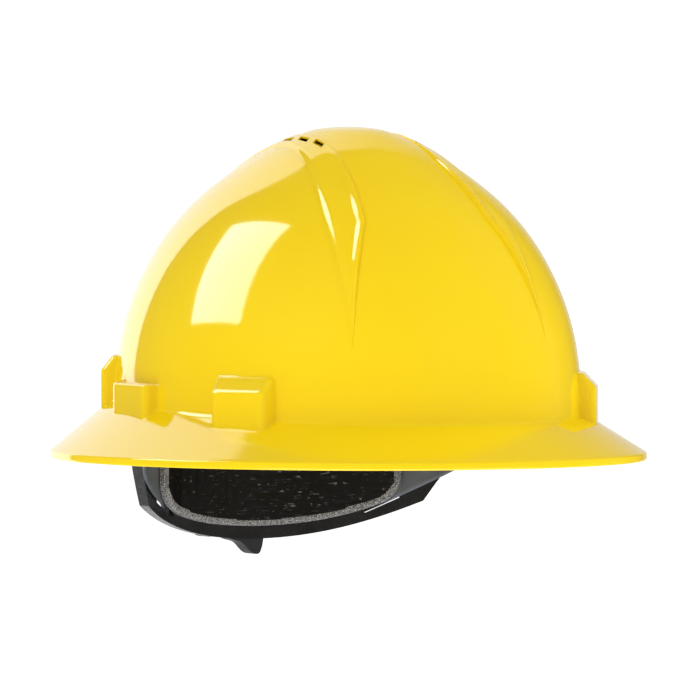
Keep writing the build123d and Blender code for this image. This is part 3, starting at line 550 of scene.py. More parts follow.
# %% [markdown]
# ## Ribs
# Two spindle shaped ribs flank the plain front panel and run over the crown to the back. A rib's
# step is only a few millimetres wide, far finer than the shell's columns near the crown, so each
# rib is a slab of its own whose grid follows its outline. From the outer edge a soft low step
# leads to a level face, and the face climbs to a crest along the inner edge and drops there: that
# climb is what catches the soft box as a wide pale streak. The crest fades out over the crown, and
# the border sinks a hair under the dome, so the two read as one moulding.

# %% Ribs
rib_face_height = 0.9
rib_crest_height = 2.3
rib_drop_width = 1.2
rib_climb_width = 6.0
rib_crest_start_y = 25.0
rib_crest_end_y = 62.0
rib_tip_x = 52.0
rib_tip_y = 107.6
rib_kink_x = 32.5
rib_kink_y = 82.0
rib_crown_inner_x = 21.85
rib_crown_outer_x = 34.7
rib_outer_mid_x = 49.0
rib_outer_mid_y = 76.0
rib_outer_step = 3.0
rib_fade_width = 10.0
rib_sink = 0.06
rib_root = 1.2
rib_spare_width = 2.0
rib_least_scale = 0.12
rib_border_shares = np.array([-1.0, -0.4, 0, 0.14, 0.28, 0.42, 0.56, 0.7, 0.85, 1])
rib_drop_steps = 8
rib_climb_steps = 14
rib_middle_steps = 7
rib_stations = 220


def rib_edges(y):
    """Inner and outer edge of a rib, as distances from the middle of the hat."""
    rise = rib_kink_x - rib_crown_inner_x
    radius = (rib_kink_y ** 2 + rise ** 2) / (2 * rise)
    arc = rib_crown_inner_x + radius - np.sqrt(radius ** 2 - np.minimum(np.abs(y), rib_kink_y) ** 2)
    slope = (rib_tip_x - rib_kink_x) / (rib_tip_y - rib_kink_y)
    inner = np.where(np.abs(y) > rib_kink_y, rib_kink_x + slope * (np.abs(y) - rib_kink_y), arc)
    knots = np.array([-rib_tip_y, -rib_outer_mid_y, 0, rib_outer_mid_y, rib_tip_y])
    places = np.array([rib_tip_x, rib_outer_mid_x, rib_crown_outer_x, rib_outer_mid_x, rib_tip_x])
    return inner, spline(knots, places, y)


def dome_surface(x, y):
    """Points of the dome above places in plan, and the outward directions there."""
    share = np.hypot(x / dome_half_width, y / dome_half_length)
    rise = crown_height - dome_base_height
    height = dome_base_height + rise * np.interp(share, width_table, rise_table)
    step = 0.002
    above = np.interp(share - step, width_table, rise_table)
    below = np.interp(share + step, width_table, rise_table)
    slope = rise * (below - above) / (2 * step)
    normal = np.stack([-slope * x / (dome_half_width ** 2 * share),
                       -slope * y / (dome_half_length ** 2 * share), np.ones_like(x)], axis=-1)
    normal = normal / np.linalg.norm(normal, axis=-1, keepdims=True)
    return np.stack([x, y, height], axis=-1), normal


def rib_mesh(side):
    """Points and faces of one rib."""
    turn = np.linspace(-1, 1, rib_stations)
    y = rib_tip_y * np.sin(turn * pi / 2)
    inner, outer = rib_edges(y)
    width = outer - inner
    scale = np.clip(width / (rib_climb_width + rib_outer_step + rib_spare_width), rib_least_scale, 1)
    under = rib_border_shares[:2]
    drop = rib_drop_width * np.concatenate([under, np.linspace(0, 1, rib_drop_steps)])
    climb = np.linspace(rib_drop_width, rib_climb_width, rib_climb_steps)[1:]
    middle = np.linspace(0, 1, rib_middle_steps)[1:-1]
    start = inner[:, None] + np.concatenate([drop, climb]) * scale[:, None]
    end = outer[:, None] - rib_border_shares[::-1] * rib_outer_step * scale[:, None]
    span = end[:, :1] - start[:, -1:]
    x = np.concatenate([start, start[:, -1:] + span * middle, end], axis=1)
    inwards = (x - inner[:, None]) / scale[:, None]
    into = np.clip(inwards / rib_drop_width, -1, 1)
    back = np.clip((outer[:, None] - x) / (rib_outer_step * scale[:, None]), -1, 1)
    crest = 1 - smooth_step(inwards, rib_drop_width, rib_climb_width)
    crest = (rib_crest_height - rib_face_height) * crest
    crest = crest * smooth_step(np.abs(y), rib_crest_start_y, rib_crest_end_y)[:, None]
    lift = (rib_face_height + crest) * smooth_step(into, 0, 1) * smooth_step(back, 0, 1)
    lift = lift * np.clip(width / rib_fade_width, 0, 1)[:, None]
    lift = lift - rib_sink * (np.minimum(into, 0) ** 2 + np.minimum(back, 0) ** 2)
    places, normals = dome_surface(side * x, np.broadcast_to(y[:, None], x.shape))
    top = places + normals * lift[..., None]
    return slab_mesh(top, places - normals * rib_root)


ribs = [piece_from("rib_" + name, *rib_mesh(side), "hat", "shell")
        for name, side in (("left", 1), ("right", -1))]
print("rib faces:", len(ribs[0].data.polygons))

# %% [markdown]
# ## Openings in the shell
# The slots inside the pockets and the vents through the ribs are cut with an exact Boolean, one
# block for each, since their edges are crisp and cross the grid at an angle. The slots open
# downwards only, where keys and accessories plug in, and the vents slant with the ribs.

# %% Slots and vents
vent_length = 9.2
vent_width = 3.4
vent_slant = 2.6
vent_pitch = 13.5
vent_count = 3
vent_front_y = 20.5
vent_front_x = 26.3
vent_step_x = 1.2
cut_depth = 25.0
pocket_gap = 0.1


def prism_mesh(outline, shift):
    """Closed prism from an outline of 3-D points and a shift to its other end."""
    count = len(outline)
    points = np.concatenate([outline, outline + shift])
    faces = [list(range(count)), list(range(2 * count - 1, count - 1, -1))]
    faces += [[i, (i + 1) % count, (i + 1) % count + count, i + count] for i in range(count)]
    return points, faces


def pocket_space(pocket):
    """The space inside a pocket, open at the bottom, as a prism along the wall."""
    point, out, side = wall_frame(pocket["angle"])
    base = root_height(pocket["angle"])
    deep = pocket["proud"] - shell_wall
    if pocket["accessory"]:
        top = base + accessory_height - shell_wall
        section = [(pocket_gap, -cut_depth), (deep, -cut_depth), (deep, top), (pocket_gap, top)]
        half = accessory_slot_width / 2
    else:
        top = base + pocket_face_height - shell_wall
        roof = top + pocket_roof_rise
        section = [(pocket_gap, -cut_depth), (deep, -cut_depth), (deep, top),
                   (pocket_roof_back_share * pocket["proud"], roof), (pocket_gap, roof)]
        half = pocket_width / 2 - shell_wall
    outline = np.array([point + out * n + np.array([0, 0, z]) for n, z in section])
    return prism_mesh(outline - side * half, side * 2 * half)


def vent_block(side, index):
    """One slanted vent as an upright block through the crown."""
    x = vent_front_x + vent_step_x * index
    y = vent_pitch * index - vent_front_y
    half = vent_length / 2
    inner = x - vent_width / 2
    outer = x + vent_width / 2
    outline = [(inner, y - half + vent_slant / 2), (outer, y - half - vent_slant / 2),
               (outer, y + half - vent_slant / 2), (inner, y + half + vent_slant / 2)]
    corners = np.array([(side * px, py, crown_height - cut_depth) for px, py in outline])
    return prism_mesh(corners, np.array([0, 0, 2 * cut_depth]))


def join_meshes(parts):
    """One set of points and faces from several."""
    points, faces, first = [], [], 0
    for part_points, part_faces in parts:
        points.append(part_points)
        faces += [[corner + first for corner in face] for face in part_faces]
        first += len(part_points)
    return np.concatenate(points), faces


vents = [vent_block(side, index) for side in (-1, 1) for index in range(vent_count)]
spaces = [pocket_space(pocket) for pocket in pockets]
cutter = piece_from("shell_cutter", *join_meshes(spaces + vents), None, None)
carve(shell, cutter)
for rib in ribs:
    cutter = piece_from("rib_cutter", *join_meshes(vents), None, None)
    carve(rib, cutter)
for piece in [shell] + ribs:
    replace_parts(piece, "shell")
print("shell faces after cutting:", len(shell.data.polygons))

# %% [markdown]
# ## Material helpers
# Every finish is a node material, worked out from object coordinates or from a place attribute
# that the straps and pads carry. Small helpers keep the node code short: they make a node, join
# two sockets, map a value, or turn a height map into a bump.

# %% Material helpers


class Finish:
    """A node material that is built step by step."""

    def __init__(self, name, **inputs):
        self.material = bpy.data.materials.new(name)
        self.material.use_nodes = True
        self.tree = self.material.node_tree
        self.surface = self.tree.nodes["Principled BSDF"]
        for socket, value in inputs.items():
            self.surface.inputs[socket.replace("_", " ")].default_value = value

    def node(self, kind, properties=None, **inputs):
        """New node with its properties and inputs set; an input can be another node's output."""
        node = self.tree.nodes.new("ShaderNode" + kind)
        for key, value in (properties or {}).items():
            setattr(node, key, value)
        for key, value in inputs.items():
            place = int(key[1:]) if key[1:].isdigit() and key[0] == "i" else key.replace("_", " ")
            self.put(node.inputs[place], value)
        return node

    def put(self, socket, value):
        """Sets a socket to a value or joins it to an output."""
        if isinstance(value, bpy.types.NodeSocket):
            self.tree.links.new(value, socket)
        else:
            socket.default_value = value

    def math(self, operation, first, second=0.0):
        """Output of a math node."""
        return self.node("Math", {"operation": operation}, i0=first, i1=second).outputs[0]

    def stretched(self, vector, scales):
        """A place multiplied by its own scale in every direction."""
        return self.node("VectorMath", {"operation": "MULTIPLY"}, i0=vector, i1=scales).outputs[0]

    def noise(self, scale, detail=4.0, roughness=0.5, vector=None):
        """Noise from 0 to 1 at a scale in cycles a metre."""
        vector = vector or self.node("TexCoord").outputs["Object"]
        return self.node("TexNoise", None, Vector=vector, Scale=scale, Detail=detail,
                         Roughness=roughness).outputs["Fac"]

    def ramp(self, value, stops):
        """Colour ramp through (place, grey or colour) stops."""
        node = self.node("ValToRGB", None, Fac=value)
        elements = node.color_ramp.elements
        while len(elements) < len(stops):
            elements.new(0.5)
        for element, (place, colour) in zip(elements, stops):
            element.position = place
            element.color = (*colour, 1) if isinstance(colour, tuple) else (colour, colour, colour, 1)
        return node.outputs["Color"]

    def spread(self, value, low, high, start=0.0, end=1.0):
        """Maps a value from start..end to low..high."""
        return self.node("MapRange", None, Value=value, From_Min=start, From_Max=end,
                         To_Min=low, To_Max=high).outputs[0]

    def bump(self, height, strength, distance, normal=None):
        """Normal bent by a height map."""
        node = self.node("Bump", None, Height=height, Strength=strength, Distance=distance)
        if normal:
            self.put(node.inputs["Normal"], normal)
        return node.outputs["Normal"]

    def surface_put(self, **sockets):
        """Joins outputs to the shader's sockets."""
        for socket, value in sockets.items():
            self.put(self.surface.inputs[socket.replace("_", " ")], value)


# %% [markdown]
# ## Finishes
# The shell is injection moulded polyethylene: one strong yellow, glossy, with a faint orange peel
# and hair scratches that only show in its highlights. The black parts are the satin of moulded
# nylon, with a fine grain. The pads are black coated fabric with creases over a speckled foam.

# %% Finishes


def shell_finish():
    """Glossy yellow moulding."""
    finish = Finish("shell_yellow", IOR=1.5, Coat_Weight=0.0)
    clouds = finish.noise(9.0, 3.0)
    colour = finish.ramp(clouds, [(0.3, (0.955, 0.665, 0.006)), (0.7, (0.97, 0.69, 0.009))])
    peel = finish.noise(420.0, 2.0)
    place = finish.node("TexCoord").outputs["Object"]
    scratches = finish.noise(1.0, 6.0, 0.7, finish.stretched(place, (900.0, 60.0, 300.0)))
    haze = finish.spread(finish.noise(26.0, 5.0, 0.6), 0.05, 0.1)
    marks = finish.spread(scratches, 0.0, 0.09, 0.58, 0.8)
    finish.surface_put(Base_Color=colour, Roughness=finish.math("ADD", haze, marks),
                       Normal=finish.bump(peel, 0.02, 0.0005))
    return finish.material


def moulded_finish(name, colour, roughness, grain=1800.0, depth=0.12):
    """Satin moulding with a fine grain and slightly worn colour."""
    finish = Finish(name, IOR=1.5)
    worn = finish.noise(60.0, 6.0, 0.65)
    darker = tuple(0.8 * channel for channel in colour)
    lighter = tuple(min(1.0, 1.25 * channel + 0.004) for channel in colour)
    finish.surface_put(
        Base_Color=finish.ramp(worn, [(0.3, darker), (0.72, lighter)]),
        Roughness=finish.spread(finish.noise(180.0, 4.0), roughness - 0.07, roughness + 0.09),
        Normal=finish.bump(finish.noise(grain, 2.0), depth, 0.0002))
    return finish.material


def webbing_finish():
    """Woven polyester: ribs across the width in a herringbone, from the strap's own places."""
    finish = Finish("webbing", Sheen_Weight=0.35, Sheen_Roughness=0.5)
    place = finish.node("Attribute", {"attribute_name": "cloth_place"}).outputs["Vector"]
    parts = finish.node("SeparateXYZ", None, Vector=place).outputs
    zigzag = finish.math("PINGPONG", parts[1], 0.0019)
    lines = finish.math("SINE", finish.math("MULTIPLY", finish.math("ADD", parts[0], zigzag), 4400.0))
    threads = finish.math("SINE", finish.math("MULTIPLY", parts[1], 9500.0))
    weave = finish.math("ADD", lines, finish.math("MULTIPLY", threads, 0.35))
    height = finish.spread(weave, 0.0, 1.0, -1.35, 1.35)
    fuzz = finish.noise(3000.0, 3.0)
    # The colour follows the weave's height and is darker in its grooves: painted shade. The fuzz noise
    # varies the tone at random.
    colour = finish.ramp(finish.math("MULTIPLY", height, finish.spread(fuzz, 0.75, 1.1)),
                         [(0.1, 0.012), (0.9, 0.075)])
    finish.surface_put(Base_Color=colour, Roughness=finish.spread(height, 0.9, 0.6),
                       Normal=finish.bump(height, 0.7, 0.00035))
    return finish.material


def leather_finish():
    """Black coated fabric with short level creases, painted pale along them as a glint."""
    finish = Finish("pad_leather", IOR=1.5, Specular_IOR_Level=0.3)
    place = finish.node("Attribute", {"attribute_name": "cloth_place"}).outputs["Vector"]
    waves = finish.noise(1.0, 0.0, 0.5, finish.stretched(place, (40.0, 520.0, 40.0)))
    from_middle = finish.math("ABSOLUTE", finish.math("SUBTRACT", waves, 0.5))
    ridge = finish.spread(from_middle, 1.0, 0.0, 0.0, 0.05)
    broken = finish.spread(finish.noise(420.0, 1.0, 0.5, place), 0.0, 1.0, 0.56, 0.66)
    # The broken crease lines bump the surface as real creases and also lighten the colour as a painted
    # glint.
    crease_and_glint = finish.math("MULTIPLY", ridge, broken)
    pebble = finish.node("TexVoronoi", {"feature": "SMOOTH_F1"}, Vector=place, Scale=1500.0).outputs[0]
    coarse = finish.bump(crease_and_glint, 0.6, 0.0005)
    # The base colour turns pale along the creases: a painted glint.
    finish.surface_put(
        Base_Color=finish.ramp(crease_and_glint, [(0.4, 0.004), (1.0, 0.13)]),
        Roughness=finish.spread(finish.noise(240.0, 4.0, 0.6, place), 0.22, 0.42),
        Normal=finish.bump(pebble, 0.25, 0.0002, coarse))
    return finish.material


def foam_finish():
    """Cut foam edge: grey with dark and pale cells."""
    finish = Finish("pad_foam", IOR=1.35)
    cells = finish.node("TexVoronoi", {"feature": "F1"}, Scale=1700.0,
                        Vector=finish.node("TexCoord").outputs["Object"]).outputs["Distance"]
    speck = finish.noise(1500.0, 4.0, 0.75)
    finish.surface_put(
        Base_Color=finish.ramp(speck, [(0.36, 0.03), (0.5, 0.14), (0.62, 0.46)]),
        Roughness=finish.spread(cells, 0.95, 0.75),
        Normal=finish.bump(cells, 0.8, 0.0006))
    return finish.material


def steel_finish():
    """Plain turned steel."""
    finish = Finish("screw_steel", Metallic=1.0)
    finish.surface_put(
        Base_Color=finish.ramp(finish.noise(500.0), [(0.3, 0.42), (0.7, 0.62)]),
        Roughness=finish.spread(finish.noise(1400.0, 3.0), 0.22, 0.4),
        Normal=finish.bump(finish.noise(2600.0), 0.1, 0.0001))
    return finish.material


yellow = shell_finish()
satin_black = moulded_finish("moulding_black", (0.016, 0.016, 0.017), 0.34)
cradle_black = moulded_finish("cradle_black", (0.009, 0.009, 0.0095), 0.24)
band_black = moulded_finish("band_black", (0.03, 0.03, 0.032), 0.42)
knob_black = moulded_finish("knob_black", (0.02, 0.02, 0.022), 0.4, 1200.0, 0.25)
strap_grey = moulded_finish("strap_grey", (0.082, 0.094, 0.108), 0.42, 2200.0, 0.08)
natural = moulded_finish("pinion_natural", (0.72, 0.7, 0.64), 0.36)
steel = steel_finish()
webbing = webbing_finish()
leather = leather_finish()
foam = foam_finish()

for piece in [shell] + ribs:
    piece.data.materials.clear()
    piece.data.materials.append(yellow)

node_finishes = {"headband": band_black, "brow_pad_rivets": satin_black, "nape_cradle": cradle_black,
                 "rack_left": strap_grey, "rack_right": strap_grey, "ratchet_cover": satin_black,
                 "cover_screws": steel, "pinion": natural, "pawl_spring": natural,
                 "ratchet_knob": knob_black, "knob_screw": steel, "knob_cap": knob_black}
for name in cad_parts:
    if name.startswith("suspension_key"):
        node_finishes[name] = satin_black
for name, material in node_finishes.items():
    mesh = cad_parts[name].data
    mesh.materials.clear()
    mesh.materials.append(material)
print("finishes on", len(node_finishes), "nodes")

# %% [markdown]
# ## Crown straps
# Two webbing straps cross under the crown. Each end passes through a slot in a key and turns down
# behind it. Webbing is flat and even, so a strap is a thin rounded section swept along its path,
# a straight tail, two bends through the slot, and half an ellipse over the head. Every point keeps
# its place along and across the strap for the weave.

# %% Crown straps
key_leg_radius = 105.2
key_leg_thickness = 2.8
key_leg_height = 12.5
key_slot_height = 3.0
key_slot_bar = 3.0
crown_strap_width = 19.0
crown_strap_thickness = 1.3
crown_strap_top = 121.0
crown_strap_crossing_gap = 0.6
crown_strap_tail = 5.0
crown_strap_tail_gap = 0.1
crown_strap_outer_bend = 0.9
crown_strap_inner_bend = 0.7
strap_edge_steps = 5
strap_face_share = 0.8
strap_face_steps = 9
arch_stations = 90
arch_start_station = 3


def strap_section(width, thickness):
    """Section of a strap: flat faces and half round edges, as (across, through) pairs."""
    half = width / 2 - thickness / 2
    pairs = []
    for side in (1, -1):
        for turn in np.linspace(-pi / 2, pi / 2, strap_edge_steps):
            pairs.append((side * (half + thickness / 2 * cos(turn)), side * thickness / 2 * sin(turn)))
        for share in np.linspace(strap_face_share, -strap_face_share, strap_face_steps):
            pairs.append((side * half * share, side * thickness / 2))
    return np.array(pairs)


def mark_cloth(piece, places):
    """Stores places in metres along, across and through a strap or pad for its material."""
    attribute = piece.data.attributes.new("cloth_place", "FLOAT_VECTOR", "POINT")
    attribute.data.foreach_set("vector", (np.asarray(places, np.float32) * MM).ravel())


def swept_strap(name, path, across, section, body, slot):
    """Strap along a path; across gives the direction of its width at each station."""
    ahead = np.gradient(path, axis=0)
    ahead /= np.linalg.norm(ahead, axis=1, keepdims=True)
    through = np.cross(across, ahead)
    through /= np.linalg.norm(through, axis=1, keepdims=True)
    across = np.cross(ahead, through)
    rings = (path[:, None] + section[None, :, :1] * across[:, None]
             + section[None, :, 1:] * through[:, None])
    points, faces = tube_mesh(rings)
    piece = piece_from(name, points, faces, body, slot)
    lengths = np.concatenate([[0], np.cumsum(np.linalg.norm(np.diff(path, axis=0), axis=1))])
    places = np.stack(np.broadcast_arrays(lengths[:, None], section[None, :, 0], section[None, :, 1]),
                      axis=-1).reshape(-1, 3)
    ends = np.array([[lengths[0], 0, 0], [lengths[-1], 0, 0]])
    mark_cloth(piece, np.concatenate([places, ends]))
    return piece


def crown_strap_path(front_angle, rear_angle, top):
    """Middle line of a crown strap from the front tail to the rear tail."""
    half = crown_strap_thickness / 2
    tail = key_leg_radius + key_leg_thickness + crown_strap_tail_gap + half
    inside = key_leg_radius - half
    parts = []
    for angle in (front_angle, rear_angle):
        slot = root_height(angle) + key_leg_height - key_slot_bar - key_slot_height / 2
        turn = np.linspace(0, pi / 2, arch_stations)
        arch = at(angle, inside * np.cos(turn), slot + (top - half - slot) * np.sin(turn))
        corners = np.stack([at(angle, tail, slot - crown_strap_tail + half), at(angle, tail, slot),
                            at(angle, inside, slot), arch[arch_start_station]])[None]
        bends = [crown_strap_outer_bend, crown_strap_inner_bend]
        hook = rounded_path(corners, bends, (5, 5), (3, 3, 1))[0]
        parts.append(np.concatenate([corners[0, :1], hook, arch[arch_start_station + 1:]]))
    return np.concatenate([parts[0], parts[1][-2::-1]])


crown_strap_ends = {
    "front_right_to_rear_left": (-front_key_angle, rear_key_angle, crown_strap_top),
    "front_left_to_rear_right": (front_key_angle, -rear_key_angle,
                                 crown_strap_top + crown_strap_thickness + crown_strap_crossing_gap),
}
for name, (front_angle, rear_angle, top) in crown_strap_ends.items():
    path = crown_strap_path(front_angle, rear_angle, top)
    sideways = np.cross(outwards(front_angle), [0, 0, 1])
    strap = swept_strap("webbing_" + name, path, np.tile(sideways, (len(path), 1)),
                        strap_section(crown_strap_width, crown_strap_thickness), "hat", "webbing")
    strap.data.materials.append(webbing)
    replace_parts(strap, "crown_strap_" + name)
print("crown straps swept")

# %% [markdown]
# ## Side straps
# The two grey size straps run from outside the headband down into the cradle's windows, and bend
# when the cradle moves; here they are swept bands of their own.

# %% Side straps
band_half_length = 103.0
band_half_width = 95.0
band_thickness = 1.8
band_end_angle = 106.0
band_end_low = 8.5
soft_gap = 0.3
cradle_radius = 99.2
cradle_wall = 2.0
rack_gap = 0.3
rack_thickness = 1.4
knob_height = 25.0
mouth_start_angle = 31.5
mouth_end_angle = 41.5
side_strap_thickness = 1.6
side_strap_half_height = 8.0
strap_front_angle = 83.0
strap_inside_angle = 60.0
strap_bend_angle = 0.8
strap_slope_start_angle = 27.5
strap_slope_end_angle = 81.5
strap_corner_angle = 2.0
strap_rear_angle = 26.9
strap_hold_angle = 4.0
strap_stations = 160
inner_rack_radius = cradle_radius + cradle_wall + rack_gap
outer_rack_radius = inner_rack_radius + rack_thickness + rack_gap


def rounded_corner(distance, corner):
    """Zero before a corner, the distance after it, and a parabola through the corner itself."""
    inside = (distance + corner) ** 2 / (4 * corner)
    return np.where(np.abs(distance) > corner, np.maximum(distance, 0), inside)


def strap_low(back):
    """Height of a strap's lower edge: level at the rack, a slope, and level at the headband."""
    lowest = -knob_height - side_strap_half_height
    rise = (band_end_low - lowest) / (strap_slope_end_angle - strap_slope_start_angle)
    start = rounded_corner(back - strap_slope_start_angle, strap_corner_angle)
    end = rounded_corner(back - strap_slope_end_angle, strap_corner_angle)
    return lowest + rise * (start - end)


def strap_radius(back, rack_radius):
    """Radius of a strap's middle: outside the headband, inside the cradle, then out to its rack."""
    outside = (ellipse_radius(band_end_angle, band_half_width, band_half_length)
               + band_thickness / 2 + soft_gap + side_strap_thickness / 2)
    inside = cradle_radius - soft_gap - side_strap_thickness / 2
    middle = inside + (outside - inside) * smooth_step(back, strap_inside_angle, 180 - band_end_angle)
    at_rack = rack_radius + rack_thickness / 2
    return at_rack + (middle - at_rack) * smooth_step(back, mouth_start_angle + strap_bend_angle,
                                                      mouth_end_angle - strap_bend_angle)


def side_strap(name, side, rack_radius):
    """One size strap: its width stands upright and its edges follow the slope."""
    back = np.linspace(strap_rear_angle, strap_front_angle, strap_stations)
    step = strap_corner_angle
    inside = cradle_radius - soft_gap - side_strap_thickness / 2
    slope = (strap_low(back + step) - strap_low(back - step)) / (2 * radians(step) * inside)
    low = strap_low(back)
    high = low + 2 * side_strap_half_height * np.sqrt(1 + slope ** 2)
    radius = strap_radius(back, rack_radius)
    half = side_strap_thickness / 2
    section = strap_section(2, side_strap_thickness)
    upright = np.where(np.abs(section[:, 0]) > 1 - half,
                       np.sign(section[:, 0]), section[:, 0] / (1 - half))
    edge = (np.abs(section[:, 0]) - (1 - half)).clip(0) * np.sign(section[:, 0])
    height = ((low + high) / 2)[:, None] + upright * ((high - low) / 2 - half)[:, None] + edge
    rings = at((180 + side * back)[:, None], radius[:, None] + section[None, :, 1], height)
    points, faces = tube_mesh(rings)
    piece = piece_from(name, points, faces, None, "strap")
    piece.data.materials.append(strap_grey)
    hold = 180 + side * (strap_front_angle - strap_hold_angle)
    hat_side = at(hold, radius[-1], (low[-1] + high[-1]) / 2) * MM
    nape_side = at(180 + side * mouth_end_angle, radius[0], strap_low(mouth_end_angle)) * MM
    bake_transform(piece)
    return piece


for name, side, rack_radius in (("right", 1, inner_rack_radius), ("left", -1, outer_rack_radius)):
    strap = side_strap("size_strap_" + name, side, rack_radius)
    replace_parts(strap, "side_strap_" + name)

# %% [markdown]
# ## Rear hangers
# A thin strip hangs on each rear key's arm and stands on the cradle's rim. It is a swept strap
# with one bend, and the window for the arm is cut with a Boolean, because its edges are crisp.

# %% Rear hangers
key_arm_width = 8.0
key_bridge_drop = 3.8
key_bridge_thickness = 3.0
hook_gap = 0.2
hanger_width = 15.0
hanger_thickness = 1.6
hanger_radius = 103.3
hanger_bar = 3.0
hanger_foot_radius = 99.5
hanger_low = 6.1
hanger_bend = 1.0


def rear_hanger(name, side):
    """One hanger: a foot on the cradle's rim, a bend, and a leg with a window for the key's arm."""
    angle = side * rear_key_angle
    arm = root_height(angle) - key_bridge_drop - key_bridge_thickness / 2
    top = arm + key_bridge_thickness / 2 + hanger_bar
    half = hanger_thickness / 2
    leg = hanger_radius + half
    corners = np.stack([at(angle, hanger_foot_radius, hanger_low + half),
                        at(angle, leg, hanger_low + half), at(angle, leg, top)])[None]
    path = rounded_path(corners, [hanger_bend], (6,), (4, 24))[0]
    path = np.concatenate([corners[0, :1], path])
    sideways = np.cross(outwards(angle), [0, 0, 1])
    piece = swept_strap(name, path, np.tile(sideways, (len(path), 1)),
                        strap_section(hanger_width, hanger_thickness), None, "strap")
    wide = key_arm_width / 2 + hook_gap
    tall = key_bridge_thickness / 2 + hook_gap
    behind = at(angle, leg - hanger_thickness, arm)
    window = np.array([behind + sideways * x + np.array([0, 0, z])
                       for x, z in ((-wide, -tall), (wide, -tall), (wide, tall), (-wide, tall))])
    window = prism_mesh(window, outwards(angle) * 2 * hanger_thickness)
    carve(piece, piece_from("hanger_cutter", *window, None, None))
    piece.data.materials.clear()
    piece.data.materials.append(band_black)
    hat_side = at(angle, leg, arm - key_bridge_thickness) * MM
    nape_side = at(angle, leg, hanger_low + hanger_thickness) * MM
    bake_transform(piece)
    return piece


for name, side in (("left", 1), ("right", -1)):
    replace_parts(rear_hanger("hanger_strip_" + name, side), "rear_hanger_" + name)

# %% [markdown]
# ## Pads
# Both pads are cut from foam with a coated face: the edge is a band of bare foam, and the face is
# crossed by wavy creases. A pad starts as a slab between two grids with a flat face. Blender's
# cloth then presses on that face from inside while the edge and the back are held. The cloth is
# stiff and the pad is narrow, so the face rises by less than half a millimetre, well under its
# cap, and both pads stay nearly flat. Remeshing would cost the grid its order, so the cloth runs
# on the grid itself, and the creases are cut afterwards as real grooves.

# %% Pads
nape_end_angle = 42.5
nape_most_thickness = 5.6
nape_edge_thickness = 3.6
nape_low = 36.0
nape_end_low = 24.0
nape_high = 9.0
nape_back_recess = 1.9
nape_recess_start_angle = 30.0
nape_recess_end_angle = 37.5
brow_end_angle = 66.0
brow_most_thickness = 5.2
brow_edge_thickness = 3.2
brow_overhang = 2.5
band_low = 4.0
band_high = 36.0
pad_end_pull_share = 0.35
pad_corner = 9.0
foam_border = 3.2
foam_border_shares = np.array([0, 0.12, 0.3, 0.5, 0.7, 0.85, 1.0])
coated_from_share = 0.84
end_corner_share = 0.9
edge_foot_share = 0.45
station_along = 1.2
station_up = 0.9
plan_samples = 801
crease_depth = 0.22
crease_pitch = 4.6
crease_width_share = 0.12
crease_fade = 1.5
crease_waves = ((0.11, 0.07), (-0.19, 0.13), (0.31, -0.24), (0.07, 0.41))
wave_phase = 1.7
waves_most = 2.4
swell_pressure = 4.0
swell_frames = 20
swell_tension = 15.0
swell_bending = 0.5


def wavy(x, y):
    """Slow noise between about -1 and 1, a sum of a few waves."""
    value = 0.0
    for number, (along, up) in enumerate(crease_waves):
        value = value + np.sin(along * x + up * y + wave_phase * number) / (1 + number / 2)
    return value / waves_most


def creases(x, y):
    """Grooves that wander along a pad, from 0 on the face to 1 in the middle of a groove."""
    phase = y / crease_pitch + 0.75 * wavy(x, y) + 0.3 * wavy(2.7 * x + 40, 2.1 * y)
    line = np.exp(-(np.abs((phase % 1) - 0.5) / crease_width_share) ** 2)
    return line * np.clip(0.5 + 0.7 * wavy(0.6 * x + 90, 1.9 * y), 0.1, 1)


def pad_stations(length, border, step):
    """Places along one direction of a pad, close together in the border at both ends."""
    edge = border * foam_border_shares
    count = int((length - 2 * border) / step)
    middle = np.linspace(border, length - border, count)
    return np.concatenate([edge[:-1], middle, length - edge[:-1][::-1]]) / length


def swollen(points, faces, held, cap):
    """Distances in millimetres that cloth under pressure moves the points, eased off at the cap."""
    piece = piece_from("swelling", points, faces, None, None)
    group = piece.vertex_groups.new(name="held")
    group.add([int(i) for i in np.flatnonzero(held)], 1.0, "REPLACE")
    cloth = piece.modifiers.new("swell", "CLOTH").settings
    cloth.use_pressure = True
    cloth.uniform_pressure_force = swell_pressure
    cloth.effector_weights.gravity = 0.0
    cloth.vertex_group_mass = "held"
    cloth.tension_stiffness = swell_tension
    cloth.bending_stiffness = swell_bending
    scene = bpy.context.scene
    for frame_number in range(1, swell_frames + 1):
        scene.frame_set(frame_number)
    shape = piece.evaluated_get(bpy.context.evaluated_depsgraph_get()).data
    after = np.empty(len(points) * 3, np.float32)
    shape.vertices.foreach_get("co", after)
    moved = np.linalg.norm(after.reshape(-1, 3) / MM - points, axis=1)
    bpy.data.objects.remove(piece)
    scene.frame_set(1)
    return cap * np.tanh(moved / cap)


